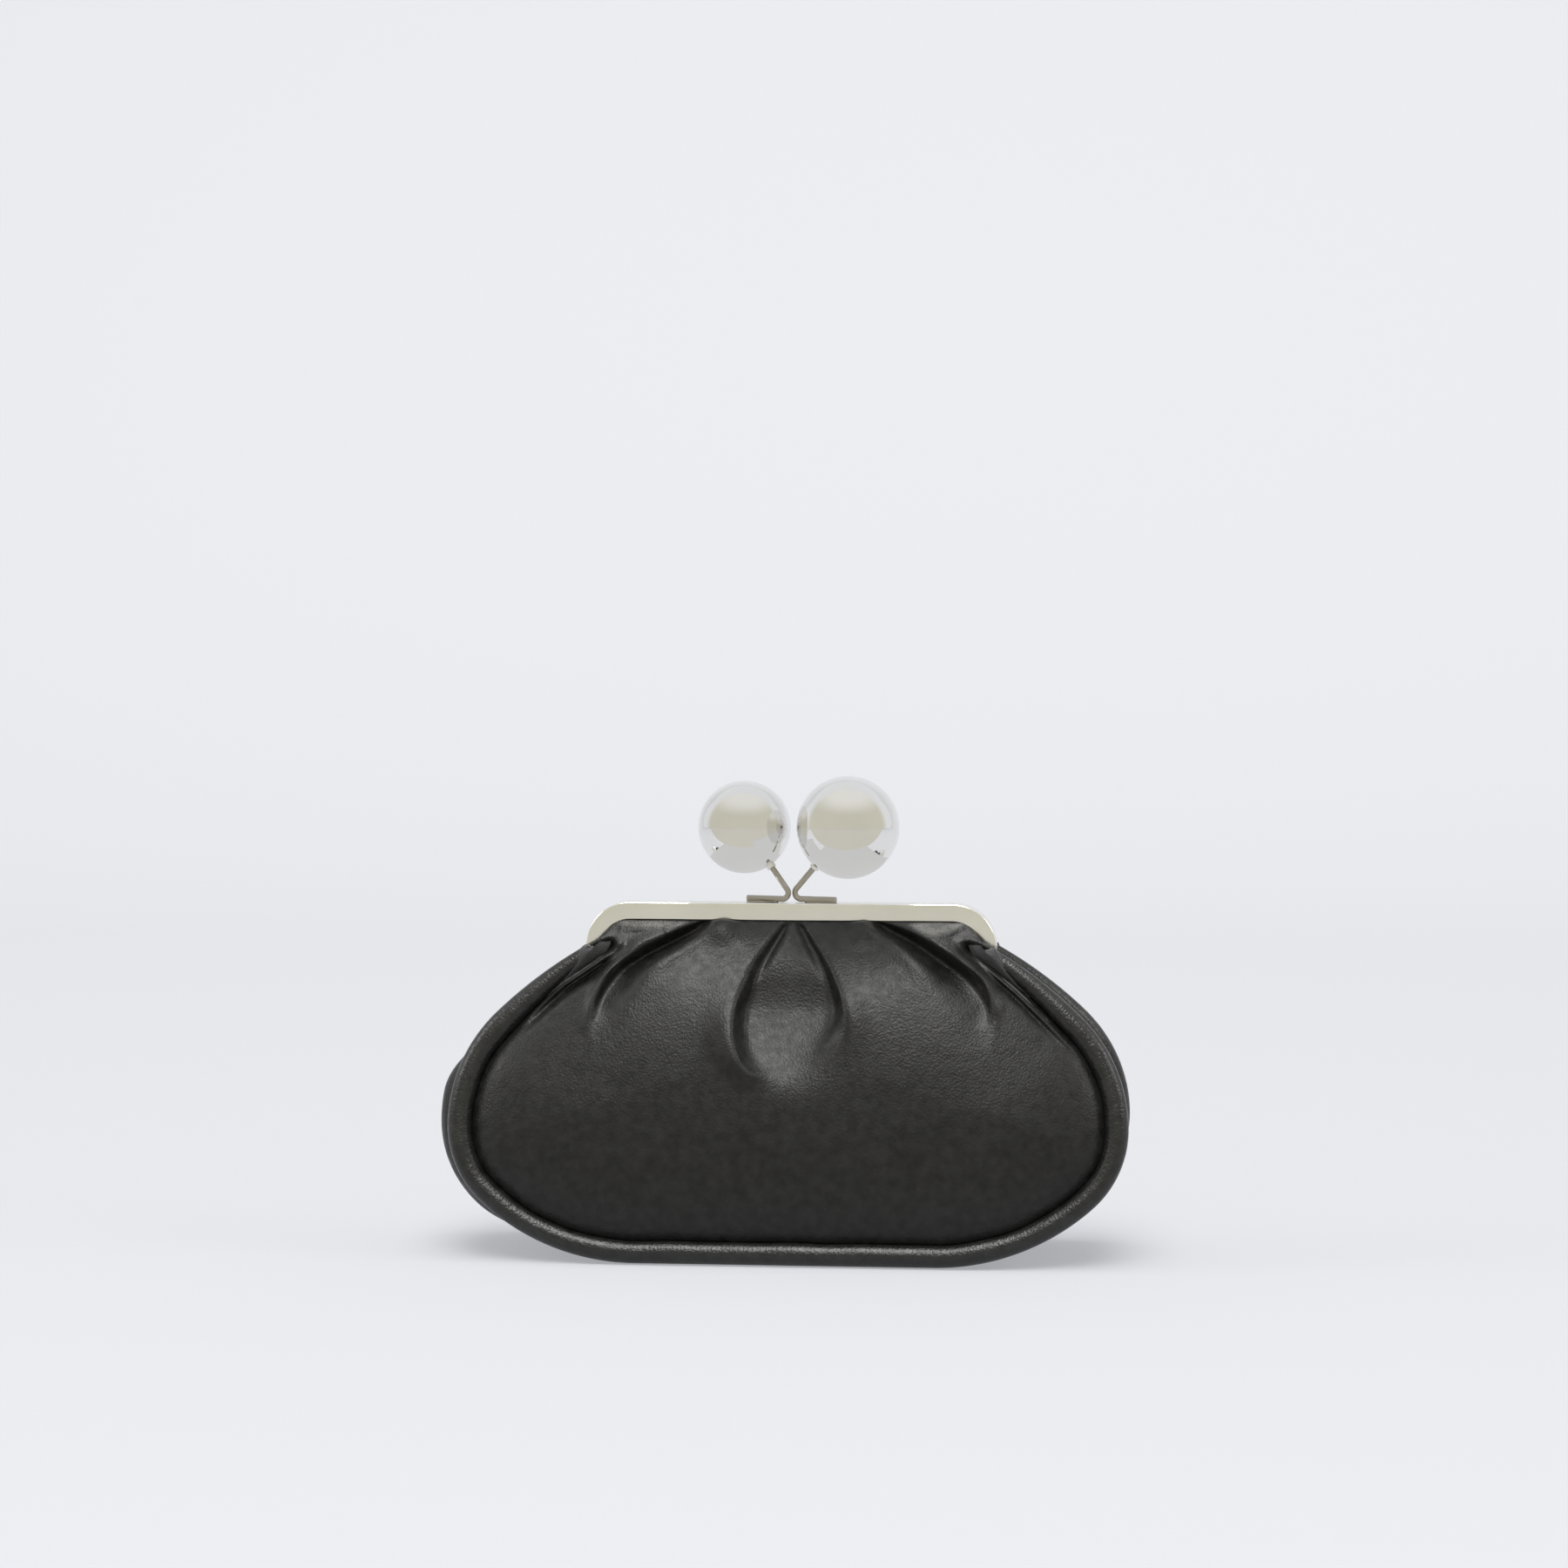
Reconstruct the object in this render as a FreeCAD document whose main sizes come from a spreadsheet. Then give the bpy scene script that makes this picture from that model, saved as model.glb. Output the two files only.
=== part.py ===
import FreeCAD, Part
import math
import os
import re
import Sketcher

# Kiss lock frame purse. Millimetres, +Z up, -Y to the front, origin under the middle of the base.

sizes = (
    # metal frame, two channel halves that close face to face
    ("frame_width", 161.4),
    ("frame_top", 138.0),
    ("frame_face", 6.8),
    ("frame_depth", 5.0),
    ("frame_corner", 17.0),
    ("parting_gap", 0.4),
    ("channel_wall", 0.9),
    ("hinge_drop", 26.0),
    # hinge ears and rivets
    ("ear_radius", 4.0),
    ("ear_thickness", 1.2),
    ("ear_root", 6.0),
    ("leg_gap", 0.3),
    ("side_gap", 0.2),
    ("rivet_diameter", 2.4),
    ("rivet_head_diameter", 5.0),
    ("rivet_head_height", 1.0),
    ("running_gap", 0.05),
    # kiss lock: two balls on bent wire stems
    ("wire_diameter", 2.3),
    ("bend_radius", 2.4),
    ("foot_length", 18.3),
    ("foot_gap", 0.25),
    ("braze_width", 1.6),
    ("stem_swing", 15.0),
    ("lock_offset", 1.25),
    ("stem_gap", 0.2),
    ("large_ball_diameter", 40.4),
    ("large_ball_reach", 22.6),
    ("large_ball_rise", 30.0),
    ("small_ball_diameter", 36.6),
    ("small_ball_reach", 19.0),
    ("small_ball_rise", 29.4),
    ("ball_wall", 1.0),
    ("ferrule_diameter", 3.9),
    ("ferrule_length", 1.5),
    ("socket_diameter", 3.3),
    ("socket_depth", 7.0),
    ("socket_flange", 4.6),
    # pouch seam, the centre line of the piping roll in its own leaning plane
    ("seam_width", 255.4),
    ("seam_flat", 116.0),
    ("seam_widest", 48.9),
    ("low_corner", 36.0),
    ("shoulder", 56.0),
    ("shoulder_turn", 45.0),
    ("upper_arc", 166.0),
    ("seam_depth", 72.0),
    ("seam_tilt", 12.5),
    ("roll_diameter", 10.0),
    ("roll_skin", 1.2),
    ("roll_lift", 0.3),
    ("roll_end_gap", 3.4),
    # leather and lining
    ("leather", 1.8),
    ("lining", 0.6),
    ("soft_gap", 0.25),
    ("panel_crown", 15.0),
    ("panel_side_gap", 1.0),
    ("panel_top_rise", 8.0),
    ("gusset_tuck", 14.0),
    ("sole_press", 0.2),
    # box pleat below the middle of the frame: two folds with the leather between them lying lower
    ("pleat_left", 17.0),
    ("pleat_right", 18.0),
    ("pleat_lip", 6.0),
    ("pleat_left_drop", 23.0),
    ("pleat_right_drop", 12.0),
    ("pleat_middle_drop", 5.0),
    ("pleat_back_turn", 116.0),
    # gathered leather that the frame carries
    ("gather_gap", 0.35),
    ("gather_end_gap", 0.9),
    ("gather_turn", 88.0),
    ("tongue_leather", 1.4),
    ("tongue_depth", 5.4),
    ("channel_cord", 1.0),
)

doc = FreeCAD.newDocument("purse")
sheet = doc.addObject("Spreadsheet::Sheet", "Sizes")
for row, (alias, value) in enumerate(sizes, start=1):
    sheet.set(f"A{row}", alias)
    sheet.set(f"B{row}", str(value))
    sheet.setAlias(f"B{row}", alias)
doc.recompute()
aliases = {alias for alias, value in sizes}
made = []


# A formula in the sheet's words, as an expression that a document object can hold.
def formula(text):
    return re.sub(r"[a-z_]+", lambda word: "Sizes." + word[0] if word[0] in aliases else word[0], str(text))


def size(text):
    return float(sheet.evalExpression(formula(text)))


def bind(thing, prop, text):
    thing.setExpression(prop, formula(text))


def keep(thing, label):
    thing.Label = label
    made.append(thing)
    return thing


# Heights and widths that several pieces share
hinge_height = "(frame_top - hinge_drop)"
half_frame = "(frame_width / 2)"
leg_end = f"({hinge_height} + ear_radius + leg_gap)"
frame_front = "(parting_gap / 2 + frame_depth)"
bar_underside_radius = "(hinge_drop - frame_face)"
gather_half = f"({half_frame} - frame_face - gather_end_gap)"
roll_radius = "(roll_diameter / 2)"
base_height = f"(roll_lift + {roll_radius})"
seam_half = "(seam_width / 2)"
wire_radius = "(wire_diameter / 2)"
wire_height = f"(frame_top + foot_gap + {wire_radius})"


def new_body(label):
    return keep(doc.addObject("PartDesign::Body", label), label)


def origin_plane(body, role):
    return next(plane for plane in body.Origin.OriginFeatures if plane.Role == role)


# A sketch on one of the body's origin planes, moved along that plane's axes and leaned about its first axis.
def new_sketch(body, name, role, move=("0", "0", "0"), lean="0"):
    sketch = body.newObject("Sketcher::SketchObject", name)
    sketch.AttachmentSupport = [(origin_plane(body, role), "")]
    sketch.MapMode = "FlatFace"
    sketch.AttachmentOffset = FreeCAD.Placement(
        FreeCAD.Vector(*(size(text) for text in move)),
        FreeCAD.Rotation(FreeCAD.Vector(1, 0, 0), size(lean)))
    for axis, text in zip("xyz", move):
        if text != "0":
            bind(sketch, f".AttachmentOffset.Base.{axis}", text)
    if lean != "0":
        bind(sketch, ".AttachmentOffset.Rotation.Angle", lean)
    return sketch


def fix_point(sketch, edge, end, x_text, y_text):
    for kind, text in (("DistanceX", x_text), ("DistanceY", y_text)):
        index = sketch.addConstraint(Sketcher.Constraint(kind, -1, 1, edge, end, size(text)))
        bind(sketch, f"Constraints[{index}]", text)


def fix_radius(sketch, edge, text):
    index = sketch.addConstraint(Sketcher.Constraint("Radius", edge, size(text)))
    bind(sketch, f"Constraints[{index}]", text)


def circle(sketch, x_text, y_text, radius_text):
    centre = FreeCAD.Vector(size(x_text), size(y_text), 0)
    edge = sketch.addGeometry(Part.Circle(centre, FreeCAD.Vector(0, 0, 1), size(radius_text)))
    fix_point(sketch, edge, 3, x_text, y_text)
    fix_radius(sketch, edge, radius_text)


# Corner points (x, y, radius, turn): radius and turn shape the edge that leaves the point,
# an arc of under half a circle that turns left (+1) or right (-1), or a straight run where they are None.
def outline(sketch, corners, closed=True):
    places = [FreeCAD.Vector(size(x), size(y), 0) for x, y, radius, turn in corners]
    count = len(corners) if closed else len(corners) - 1
    ends = []
    for index in range(count):
        x, y, radius, turn = corners[index]
        start = places[index]
        stop = places[(index + 1) % len(places)]
        if radius is None:
            edge = sketch.addGeometry(Part.LineSegment(start, stop))
            ends.append((edge, 1, 2))
            continue
        bend = size(radius)
        chord = stop - start
        across = FreeCAD.Vector(-chord.y, chord.x, 0).normalize()
        centre = (start + stop) / 2 + across * turn * math.sqrt(bend ** 2 - (chord.Length / 2) ** 2)
        first, last = (start, stop) if turn > 0 else (stop, start)
        angles = [math.atan2(point.y - centre.y, point.x - centre.x) for point in (first, last)]
        ring = Part.Circle(centre, FreeCAD.Vector(0, 0, 1), bend)
        edge = sketch.addGeometry(Part.ArcOfCircle(ring, angles[0], angles[1]))
        ends.append((edge, 1, 2) if turn > 0 else (edge, 2, 1))
        fix_radius(sketch, edge, radius)
    for index, (edge, first, last) in enumerate(ends):
        fix_point(sketch, edge, first, corners[index][0], corners[index][1])
        if closed or index + 1 < count:
            follower, follower_first, follower_last = ends[(index + 1) % count]
            sketch.addConstraint(Sketcher.Constraint("Coincident", edge, last, follower, follower_first))
        else:
            fix_point(sketch, edge, last, corners[-1][0], corners[-1][1])


def straight(x_text, y_text):
    return (x_text, y_text, None, None)


def rectangle(sketch, x_low, y_low, x_high, y_high):
    outline(sketch, [straight(x_low, y_low), straight(x_high, y_low),
                     straight(x_high, y_high), straight(x_low, y_high)])


def pad(body, sketch, length, both_ways=False):
    feature = body.newObject("PartDesign::Pad", sketch.Name + "_pad")
    feature.Profile = sketch
    if both_ways:
        feature.SideType = "Symmetric"
    bind(feature, "Length", length)
    return feature


def pocket(body, sketch, length, both_ways=False):
    feature = body.newObject("PartDesign::Pocket", sketch.Name + "_pocket")
    feature.Profile = sketch
    if both_ways:
        feature.SideType = "Symmetric"
    bind(feature, "Length", length)
    return feature


def pipe(body, profile, path):
    feature = body.newObject("PartDesign::AdditivePipe", profile.Name + "_pipe")
    feature.Profile = profile
    feature.Spine = path
    return feature


def loft(body, kind, sections):
    feature = body.newObject(f"PartDesign::{kind}Loft", sections[0].Name + "_loft")
    feature.Profile = sections[0]
    feature.Sections = sections[1:]
    return feature


def mirror_sideways(body, features):
    feature = body.newObject("PartDesign::Mirrored", body.Label + "_mirrored")
    feature.Originals = features
    feature.MirrorPlane = (origin_plane(body, "YZ_Plane"), [""])
    body.Tip = feature
    return feature


# A copy of a piece on the other side of the plane through the origin across the given direction
def mirrored_copy(source, label, direction):
    copy = keep(doc.addObject("Part::Mirroring", label), label)
    copy.Source = source
    copy.Normal = direction
    return copy


across_x = FreeCAD.Vector(1, 0, 0)
across_y = FreeCAD.Vector(0, 1, 0)
half_turn = FreeCAD.Placement(FreeCAD.Vector(), FreeCAD.Rotation(FreeCAD.Vector(0, 0, 1), 180))


# Frame halves

# The arch's outer line, set in by a distance, from the left leg's foot over the bar to the right leg's foot
def arch_line(inset, foot):
    side = f"({half_frame} - {inset})"
    top = f"(frame_top - {inset})"
    bend = f"(frame_corner - {inset})"
    spring = "(frame_top - frame_corner)"
    flat = f"({half_frame} - frame_corner)"
    return [(f"-{side}", foot, None, None), (f"-{side}", spring, bend, -1), (f"-{flat}", top, None, None),
            (flat, top, bend, -1), (side, spring, None, None), (side, foot, None, None)]


def arch_band(inner_inset, outer_inset, foot):
    outer = arch_line(outer_inset, foot)
    inner = [(x, y, None, None) for x, y, radius, turn in reversed(arch_line(inner_inset, foot))]
    bend = f"(frame_corner - {inner_inset})"
    inner[1] = (inner[1][0], inner[1][1], bend, 1)
    inner[3] = (inner[3][0], inner[3][1], bend, 1)
    return outer + inner


# One channel half with its ears, as the front half lies; the ears' inner side is at ear_low from the middle.
def frame_half(label, ear_low):
    body = new_body(label)
    face = new_sketch(body, label + "_face", "XZ_Plane", ("0", "0", "parting_gap / 2"))
    outline(face, arch_band("frame_face", "0", leg_end))
    pad(body, face, "frame_depth")
    groove = new_sketch(body, label + "_groove", "XZ_Plane", ("0", "0", f"{frame_front} - channel_wall"))
    outline(groove, arch_band("(frame_face + channel_wall)", "channel_wall", f"({leg_end} - channel_wall)"))
    pocket(body, groove, "frame_depth - 2 * channel_wall")
    root = new_sketch(body, label + "_ear_root", "YZ_Plane", ("0", "0", ear_low))
    rectangle(root, f"-{frame_front}", leg_end, "-parting_gap / 2", f"{leg_end} + ear_root")
    plate = new_sketch(body, label + "_ear_plate", "YZ_Plane", ("0", "0", ear_low))
    rectangle(plate, f"-{frame_front}", hinge_height, "-parting_gap / 2", f"{leg_end} + ear_root")
    disc = new_sketch(body, label + "_ear_disc", "YZ_Plane", ("0", "0", ear_low))
    circle(disc, "0", hinge_height, "ear_radius")
    hole = new_sketch(body, label + "_ear_hole", "YZ_Plane", ("0", "0", f"{ear_low} + 2 * ear_thickness"))
    circle(hole, "0", hinge_height, "rivet_diameter / 2 + running_gap")
    features = [
        pad(body, root, f"{half_frame} - channel_wall / 2 - {ear_low}"),
        pad(body, plate, "ear_thickness"),
        pad(body, disc, "ear_thickness"),
        pocket(body, hole, "3 * ear_thickness"),
    ]
    mirror_sideways(body, features)
    return body


outer_ear = f"({half_frame} - ear_thickness)"
inner_ear = f"({half_frame} - 2 * ear_thickness - side_gap)"
front_frame = frame_half("front_frame", outer_ear)
back_frame = frame_half("back_frame", inner_ear)
back_frame.Placement = half_turn


# Hinge rivets, turned about the hinge axis: a shank through both ears with a head at each end
def hinge_rivet(label):
    body = new_body(label)
    profile = new_sketch(body, label + "_profile", "XZ_Plane", ("0", hinge_height, "0"))
    inner_seat = f"({inner_ear} - side_gap)"
    outer_seat = f"({half_frame} + side_gap)"
    inner_end = f"({inner_seat} - rivet_head_height)"
    outer_end = f"({outer_seat} + rivet_head_height)"
    shank = "rivet_diameter / 2"
    head = "rivet_head_diameter / 2"
    outline(profile, [straight(inner_end, "0"), straight(outer_end, "0"), straight(outer_end, head),
                      straight(outer_seat, head), straight(outer_seat, shank), straight(inner_seat, shank),
                      straight(inner_seat, head), straight(inner_end, head)])
    turned = body.newObject("PartDesign::Revolution", label + "_turned")
    turned.Profile = profile
    turned.ReferenceAxis = (profile, ["H_Axis"])
    turned.Angle = 360
    return body


right_rivet = hinge_rivet("right_hinge_rivet")
mirrored_copy(right_rivet, "left_hinge_rivet", across_x)


# Kiss lock

# The stem lies in an upright plane: its foot runs out along the frame, the bend doubles it back,
# and the riser, tangent to the bend, points at the ball's centre.
def kiss_lock(name, facing):
    ball = name + "_ball"
    stem = new_body(ball + "_stem")
    origin_x = f"(stem_gap / 2 + {wire_radius} * (1 - cos(stem_swing)))"
    ball_along = f"(({ball}_reach - {origin_x}) / cos(stem_swing))"
    ball_up = f"({ball}_rise - foot_gap - {wire_radius})"
    bend_along = f"(bend_radius + {wire_radius})"
    reach = size(f"{ball_along} - {bend_along}")
    lift = size(f"{ball_up} - bend_radius")
    span = math.hypot(reach, lift)
    bend = size("bend_radius")
    rise_angle = math.atan2(lift, reach) - math.asin(bend / span)
    direction = FreeCAD.Vector(math.cos(rise_angle), 0, math.sin(rise_angle))
    ball_centre = FreeCAD.Vector(size(ball_along), 0, size(ball_up))
    wire_end = ball_centre - direction * (size(f"{ball}_diameter / 2 - socket_depth"))

    path = new_sketch(stem, ball + "_stem_path", "XZ_Plane")
    foot_tip = FreeCAD.Vector(size("foot_length"), 0, 0)
    bend_start = FreeCAD.Vector(size(bend_along), 0, 0)
    bend_centre = FreeCAD.Vector(size(bend_along), bend, 0)
    riser_start = bend_centre + FreeCAD.Vector(-direction.z, direction.x, 0) * bend
    riser_stop = FreeCAD.Vector(wire_end.x, wire_end.z, 0)
    foot = path.addGeometry(Part.LineSegment(foot_tip, bend_start))
    ring = Part.Circle(bend_centre, FreeCAD.Vector(0, 0, 1), bend)
    start_angle = math.atan2(riser_start.y - bend_centre.y, riser_start.x - bend_centre.x)
    turn = path.addGeometry(Part.ArcOfCircle(ring, start_angle, 1.5 * math.pi))
    riser = path.addGeometry(Part.LineSegment(riser_start, riser_stop))
    fix_point(path, foot, 1, "foot_length", "0")
    fix_point(path, foot, 2, bend_along, "0")
    path.addConstraint(Sketcher.Constraint("Tangent", foot, 2, turn, 2))
    path.addConstraint(Sketcher.Constraint("Tangent", turn, 1, riser, 1))
    fix_radius(path, turn, "bend_radius")
    profile = new_sketch(stem, ball + "_stem_wire", "YZ_Plane", ("0", "0", "foot_length"))
    circle(profile, "0", "0", wire_radius)
    pipe(stem, profile, path)
    seat = new_sketch(stem, ball + "_stem_braze", "XY_Plane", ("0", "0", f"-foot_gap - {wire_radius}"))
    braze_start = "((lock_offset + braze_width / 2 + parting_gap) / sin(stem_swing))"
    rectangle(seat, braze_start, "-braze_width / 2", "foot_length", "braze_width / 2")
    pad(stem, seat, f"foot_gap + {wire_radius}")

    turn_about_z = FreeCAD.Rotation(FreeCAD.Vector(0, 0, 1), facing - size("stem_swing"))
    ahead = FreeCAD.Rotation(FreeCAD.Vector(0, 0, 1), facing)
    corner = FreeCAD.Vector(size(origin_x), size("lock_offset"), 0)
    place = FreeCAD.Placement(ahead.multVec(corner) + FreeCAD.Vector(0, 0, size(wire_height)), turn_about_z)
    stem.Placement = place
    upright = FreeCAD.Rotation(FreeCAD.Vector(0, 0, 1), direction)
    ball_place = place.multiply(FreeCAD.Placement(ball_centre, upright))

    outside = doc.addObject("Part::Sphere", ball + "_outside")
    inside = doc.addObject("Part::Sphere", ball + "_inside")
    mouth = doc.addObject("Part::Cylinder", ball + "_mouth")
    bind(outside, "Radius", f"{ball}_diameter / 2")
    bind(inside, "Radius", f"{ball}_diameter / 2 - ball_wall")
    bind(mouth, "Radius", "socket_diameter / 2 + running_gap")
    bind(mouth, "Height", f"{ball}_diameter / 2")
    bind(mouth, ".Placement.Base.z", f"-{ball}_diameter / 2 - ferrule_length")
    hollow = doc.addObject("Part::Cut", ball + "_hollow")
    hollow.Base = outside
    hollow.Tool = inside
    shell = keep(doc.addObject("Part::Cut", ball), ball)
    shell.Base = hollow
    shell.Tool = mouth
    shell.Placement = ball_place

    # the socket is turned about the riser: ferrule outside, shank through the wall, flange inside
    socket = new_body(ball + "_socket")
    section = new_sketch(socket, ball + "_socket_section", "XZ_Plane")
    bore = f"({wire_radius} + running_gap)"
    shank = "socket_diameter / 2"
    flange = "socket_flange / 2"
    ferrule = "ferrule_diameter / 2"
    mouth_end = f"(-{ball}_diameter / 2 - ferrule_length)"
    inner_seat = f"(-sqrt(({ball}_diameter / 2 - ball_wall)^2 - ({flange})^2) + running_gap)"
    bore_end = f"(-{ball}_diameter / 2 + socket_depth + running_gap)"
    top = f"({bore_end} + ball_wall)"
    ferrule_seat = f"(-{ball}_diameter / 2 - running_gap)"
    outline(section, [straight(bore, mouth_end), straight(ferrule, mouth_end), straight(ferrule, ferrule_seat),
                      straight(shank, ferrule_seat), straight(shank, inner_seat), straight(flange, inner_seat),
                      straight(flange, top), straight("0", top), straight("0", bore_end),
                      straight(bore, bore_end)])
    turned = socket.newObject("PartDesign::Revolution", ball + "_socket_turned")
    turned.Profile = section
    turned.ReferenceAxis = (section, ["V_Axis"])
    turned.Angle = 360
    socket.Placement = ball_place


kiss_lock("large", 0)
kiss_lock("small", 180)


# Pouch seam

# The low corner runs from the flat base to the widest height on two arcs. The tight one, low_corner, is at the
# side where the corner is longer than it is high, and at the base where it is higher than it is long.
def wide_arc(long_way, short_way):
    return f"((({long_way} - low_corner)^2 + {short_way}^2 - low_corner^2) / (2 * ({short_way} - low_corner)))"


corner_run = f"({seam_half} - seam_flat / 2)"
corner_is_long = f"{corner_run} >= seam_widest"
base_arc = f"({corner_is_long} ? {wide_arc(corner_run, 'seam_widest')} : low_corner)"
side_arc = f"({corner_is_long} ? low_corner : {wide_arc('seam_widest', corner_run)})"
meeting_x = f"(({corner_run} - {side_arc}) / ({base_arc} - {side_arc}))"
meeting_y = f"((seam_widest - {base_arc}) / ({base_arc} - {side_arc}))"
upper_centre_x = f"({seam_half} - shoulder - (upper_arc - shoulder) * cos(shoulder_turn))"
upper_centre_y = "(seam_widest - (upper_arc - shoulder) * sin(shoulder_turn))"


# Right half of the seam line, grown outwards by a distance, from the middle of the base to the given side
def seam_points(grow, side):
    side_height = f"({upper_centre_y} + sqrt((upper_arc + {grow})^2 - ({side} - {upper_centre_x})^2))"
    return [
        ("seam_flat / 2", f"-{grow}", f"({base_arc} + {grow})", 1),
        (f"seam_flat / 2 + ({base_arc} + {grow}) * {meeting_x}",
         f"{base_arc} + ({base_arc} + {grow}) * {meeting_y}", f"({side_arc} + {grow})", 1),
        (f"{seam_half} + {grow}", "seam_widest", f"(shoulder + {grow})", 1),
        (f"{seam_half} - shoulder + (shoulder + {grow}) * cos(shoulder_turn)",
         f"seam_widest + (shoulder + {grow}) * sin(shoulder_turn)", f"(upper_arc + {grow})", 1),
        (side, side_height, None, None),
    ]


# The whole closed outline, both sides, with any further corners of the right side after the arcs
# and any corners of the upper edge between the two sides
def seam_outline(grow, side, further=(), upper_edge=()):
    right = seam_points(grow, side) + list(further)
    left = []
    for index in range(len(right) - 1, -1, -1):
        x, y, radius, turn = right[index]
        bend, bend_turn = (right[index - 1][2], right[index - 1][3]) if index else (None, None)
        left.append((f"-({x})", y, bend, bend_turn))
    return right + list(upper_edge) + left


# Corners shrunk about a point on the middle line, sideways and upright by their own shares
def shrink(corners, sideways, upright, centre_y):
    return [(f"{sideways} * ({x})", f"{centre_y} + {upright} * ({y} - {centre_y})",
             None if radius is None else f"{sideways} * {radius}", turn) for x, y, radius, turn in corners]


# A sketch parallel to the front seam plane, at a height in front of it
def seam_sketch(body, name, height):
    return new_sketch(body, name, "XZ_Plane",
                      ("0", f"{base_height} + ({height}) * sin(seam_tilt)",
                       f"seam_depth / 2 + ({height}) * cos(seam_tilt)"), "-seam_tilt")


roll_end = f"({half_frame} + roll_end_gap)"


# Piping: a leather roll on a cord core, swept along half the seam and mirrored
def piping(label, hollow):
    body = new_body(label)
    path = seam_sketch(body, label + "_path", "0")
    outline(path, [straight("0", "0")] + seam_points("0", roll_end), closed=False)
    profile = new_sketch(body, label + "_profile", "YZ_Plane")
    if hollow:
        circle(profile, "-seam_depth / 2", base_height, roll_radius)
        circle(profile, "-seam_depth / 2", base_height, f"({roll_radius} - roll_skin)")
    else:
        circle(profile, "-seam_depth / 2", base_height, f"({roll_radius} - roll_skin - running_gap)")
    mirror_sideways(body, [pipe(body, profile, path)])
    return body


front_piping = piping("front_piping", True)
front_core = piping("front_piping_core", False)
mirrored_copy(front_piping, "back_piping", across_y)
mirrored_copy(front_core, "back_piping_core", across_y)


# Gusset: a band that runs from the front roll to the back roll, folded inwards between them towards the hinges,
# and open at the top where the frame sits
band_half = f"(seam_depth / 2 - ({roll_radius} + soft_gap) / cos(seam_tilt))"
tuck_shares = (0, 0, 0, 0.6, 1)


# The gusset's outline halfway between the rolls, upright, with its sides above the widest height drawn in
def tucked_outline(grow, side):
    tucks = tuck_shares + tuck_shares[::-1]
    signs = ("-",) * len(tuck_shares) + ("+",) * len(tuck_shares)
    return [(f"{x} {sign} {tuck} * gusset_tuck", f"({y}) * cos(seam_tilt)", radius, turn)
            for (x, y, radius, turn), sign, tuck in zip(seam_outline(grow, side), signs, tucks)]


def gusset_band(label, grow, thickness):
    body = new_body(label)
    band_side = f"({roll_end} - roll_diameter)"
    for kind, more in (("Additive", grow), ("Subtractive", f"({grow} - {thickness})")):
        sections = []
        for name, place, lean, corners in (("front", band_half, "-seam_tilt", seam_outline(more, band_side)),
                                           ("middle", "0", "0", tucked_outline(more, band_side)),
                                           ("back", f"-{band_half}", "seam_tilt", seam_outline(more, band_side))):
            sketch = new_sketch(body, f"{label}_{kind}_{name}", "XZ_Plane", ("0", base_height, place), lean)
            outline(sketch, corners)
            sections.append(sketch)
        loft(body, kind, sections)
    mouth = new_sketch(body, label + "_mouth", "XZ_Plane")
    rectangle(mouth, f"-{roll_end}", f"{base_height} + seam_widest", roll_end, "frame_top")
    pocket(body, mouth, "2 * seam_depth", both_ways=True)
    return body


# The band is rounded a little below the ground and pressed level there, as the purse stands on it.
gusset_grow = f"(({base_height} + sole_press) / cos(seam_tilt))"
gusset = gusset_band("gusset", gusset_grow, "leather")
sole = new_sketch(gusset, "gusset_sole", "XY_Plane")
rectangle(sole, f"-{seam_half}", "-seam_depth", seam_half, "seam_depth")
pocket(gusset, sole, "2 * sole_press")
gusset_band("gusset_lining", f"({gusset_grow} - leather - soft_gap)", "lining")


# Panels: a sheet that swells from just inside the roll and is pleated under the frame, cut level with the hinge
# and clear of the round path that the gathered leather takes when the frame opens
panel_side = f"({half_frame} - panel_side_gap)"
panel_top = f"(({hinge_height} + panel_top_rise - {base_height}) / cos(seam_tilt))"

# Outlines of the swell, each as shares: its height of the crown, its way in from the roll to the middle of the
# low corner, the height and half-length of its upper edge, the spread and drop of the pleat there, and the
# sheet's thickness upright.
swell_outlines = (
    (0, 0, 1, 1, 0.6, 0.4, 0),
    (0.47, 0.28, 0.925, 0.8, 1, 1, 0.6),
    (0.79, 0.85, 0.84, 0.565, 0.95, 0.9, 0.8),
)

# The crown's outline is the last of these, shrunk about a point on the middle line.
crown_sideways = 0.6
crown_upright = 0.35
crown_middle = f"(0.56 * {panel_top})"


# The upper edge of an outline from right to left, set in by a distance: down one fold, over the leather between
# the folds, and up the other
def pleated_edge(top, spread, drop, inset):
    def lip(side):
        return f"({spread} * (pleat_{side} + pleat_lip) + {inset})"

    def fold(side):
        return f"({spread} * pleat_{side} + {inset} / 2)", f"{top} - {drop} * pleat_{side}_drop - {inset}"

    right_x, right_y = fold("right")
    left_x, left_y = fold("left")
    return [straight(lip("right"), top), straight(right_x, right_y),
            straight("0", f"{top} - {drop} * pleat_middle_drop - {inset} / 4"),
            straight(f"-{left_x}", left_y), straight(f"-{lip('left')}", top)]


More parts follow.
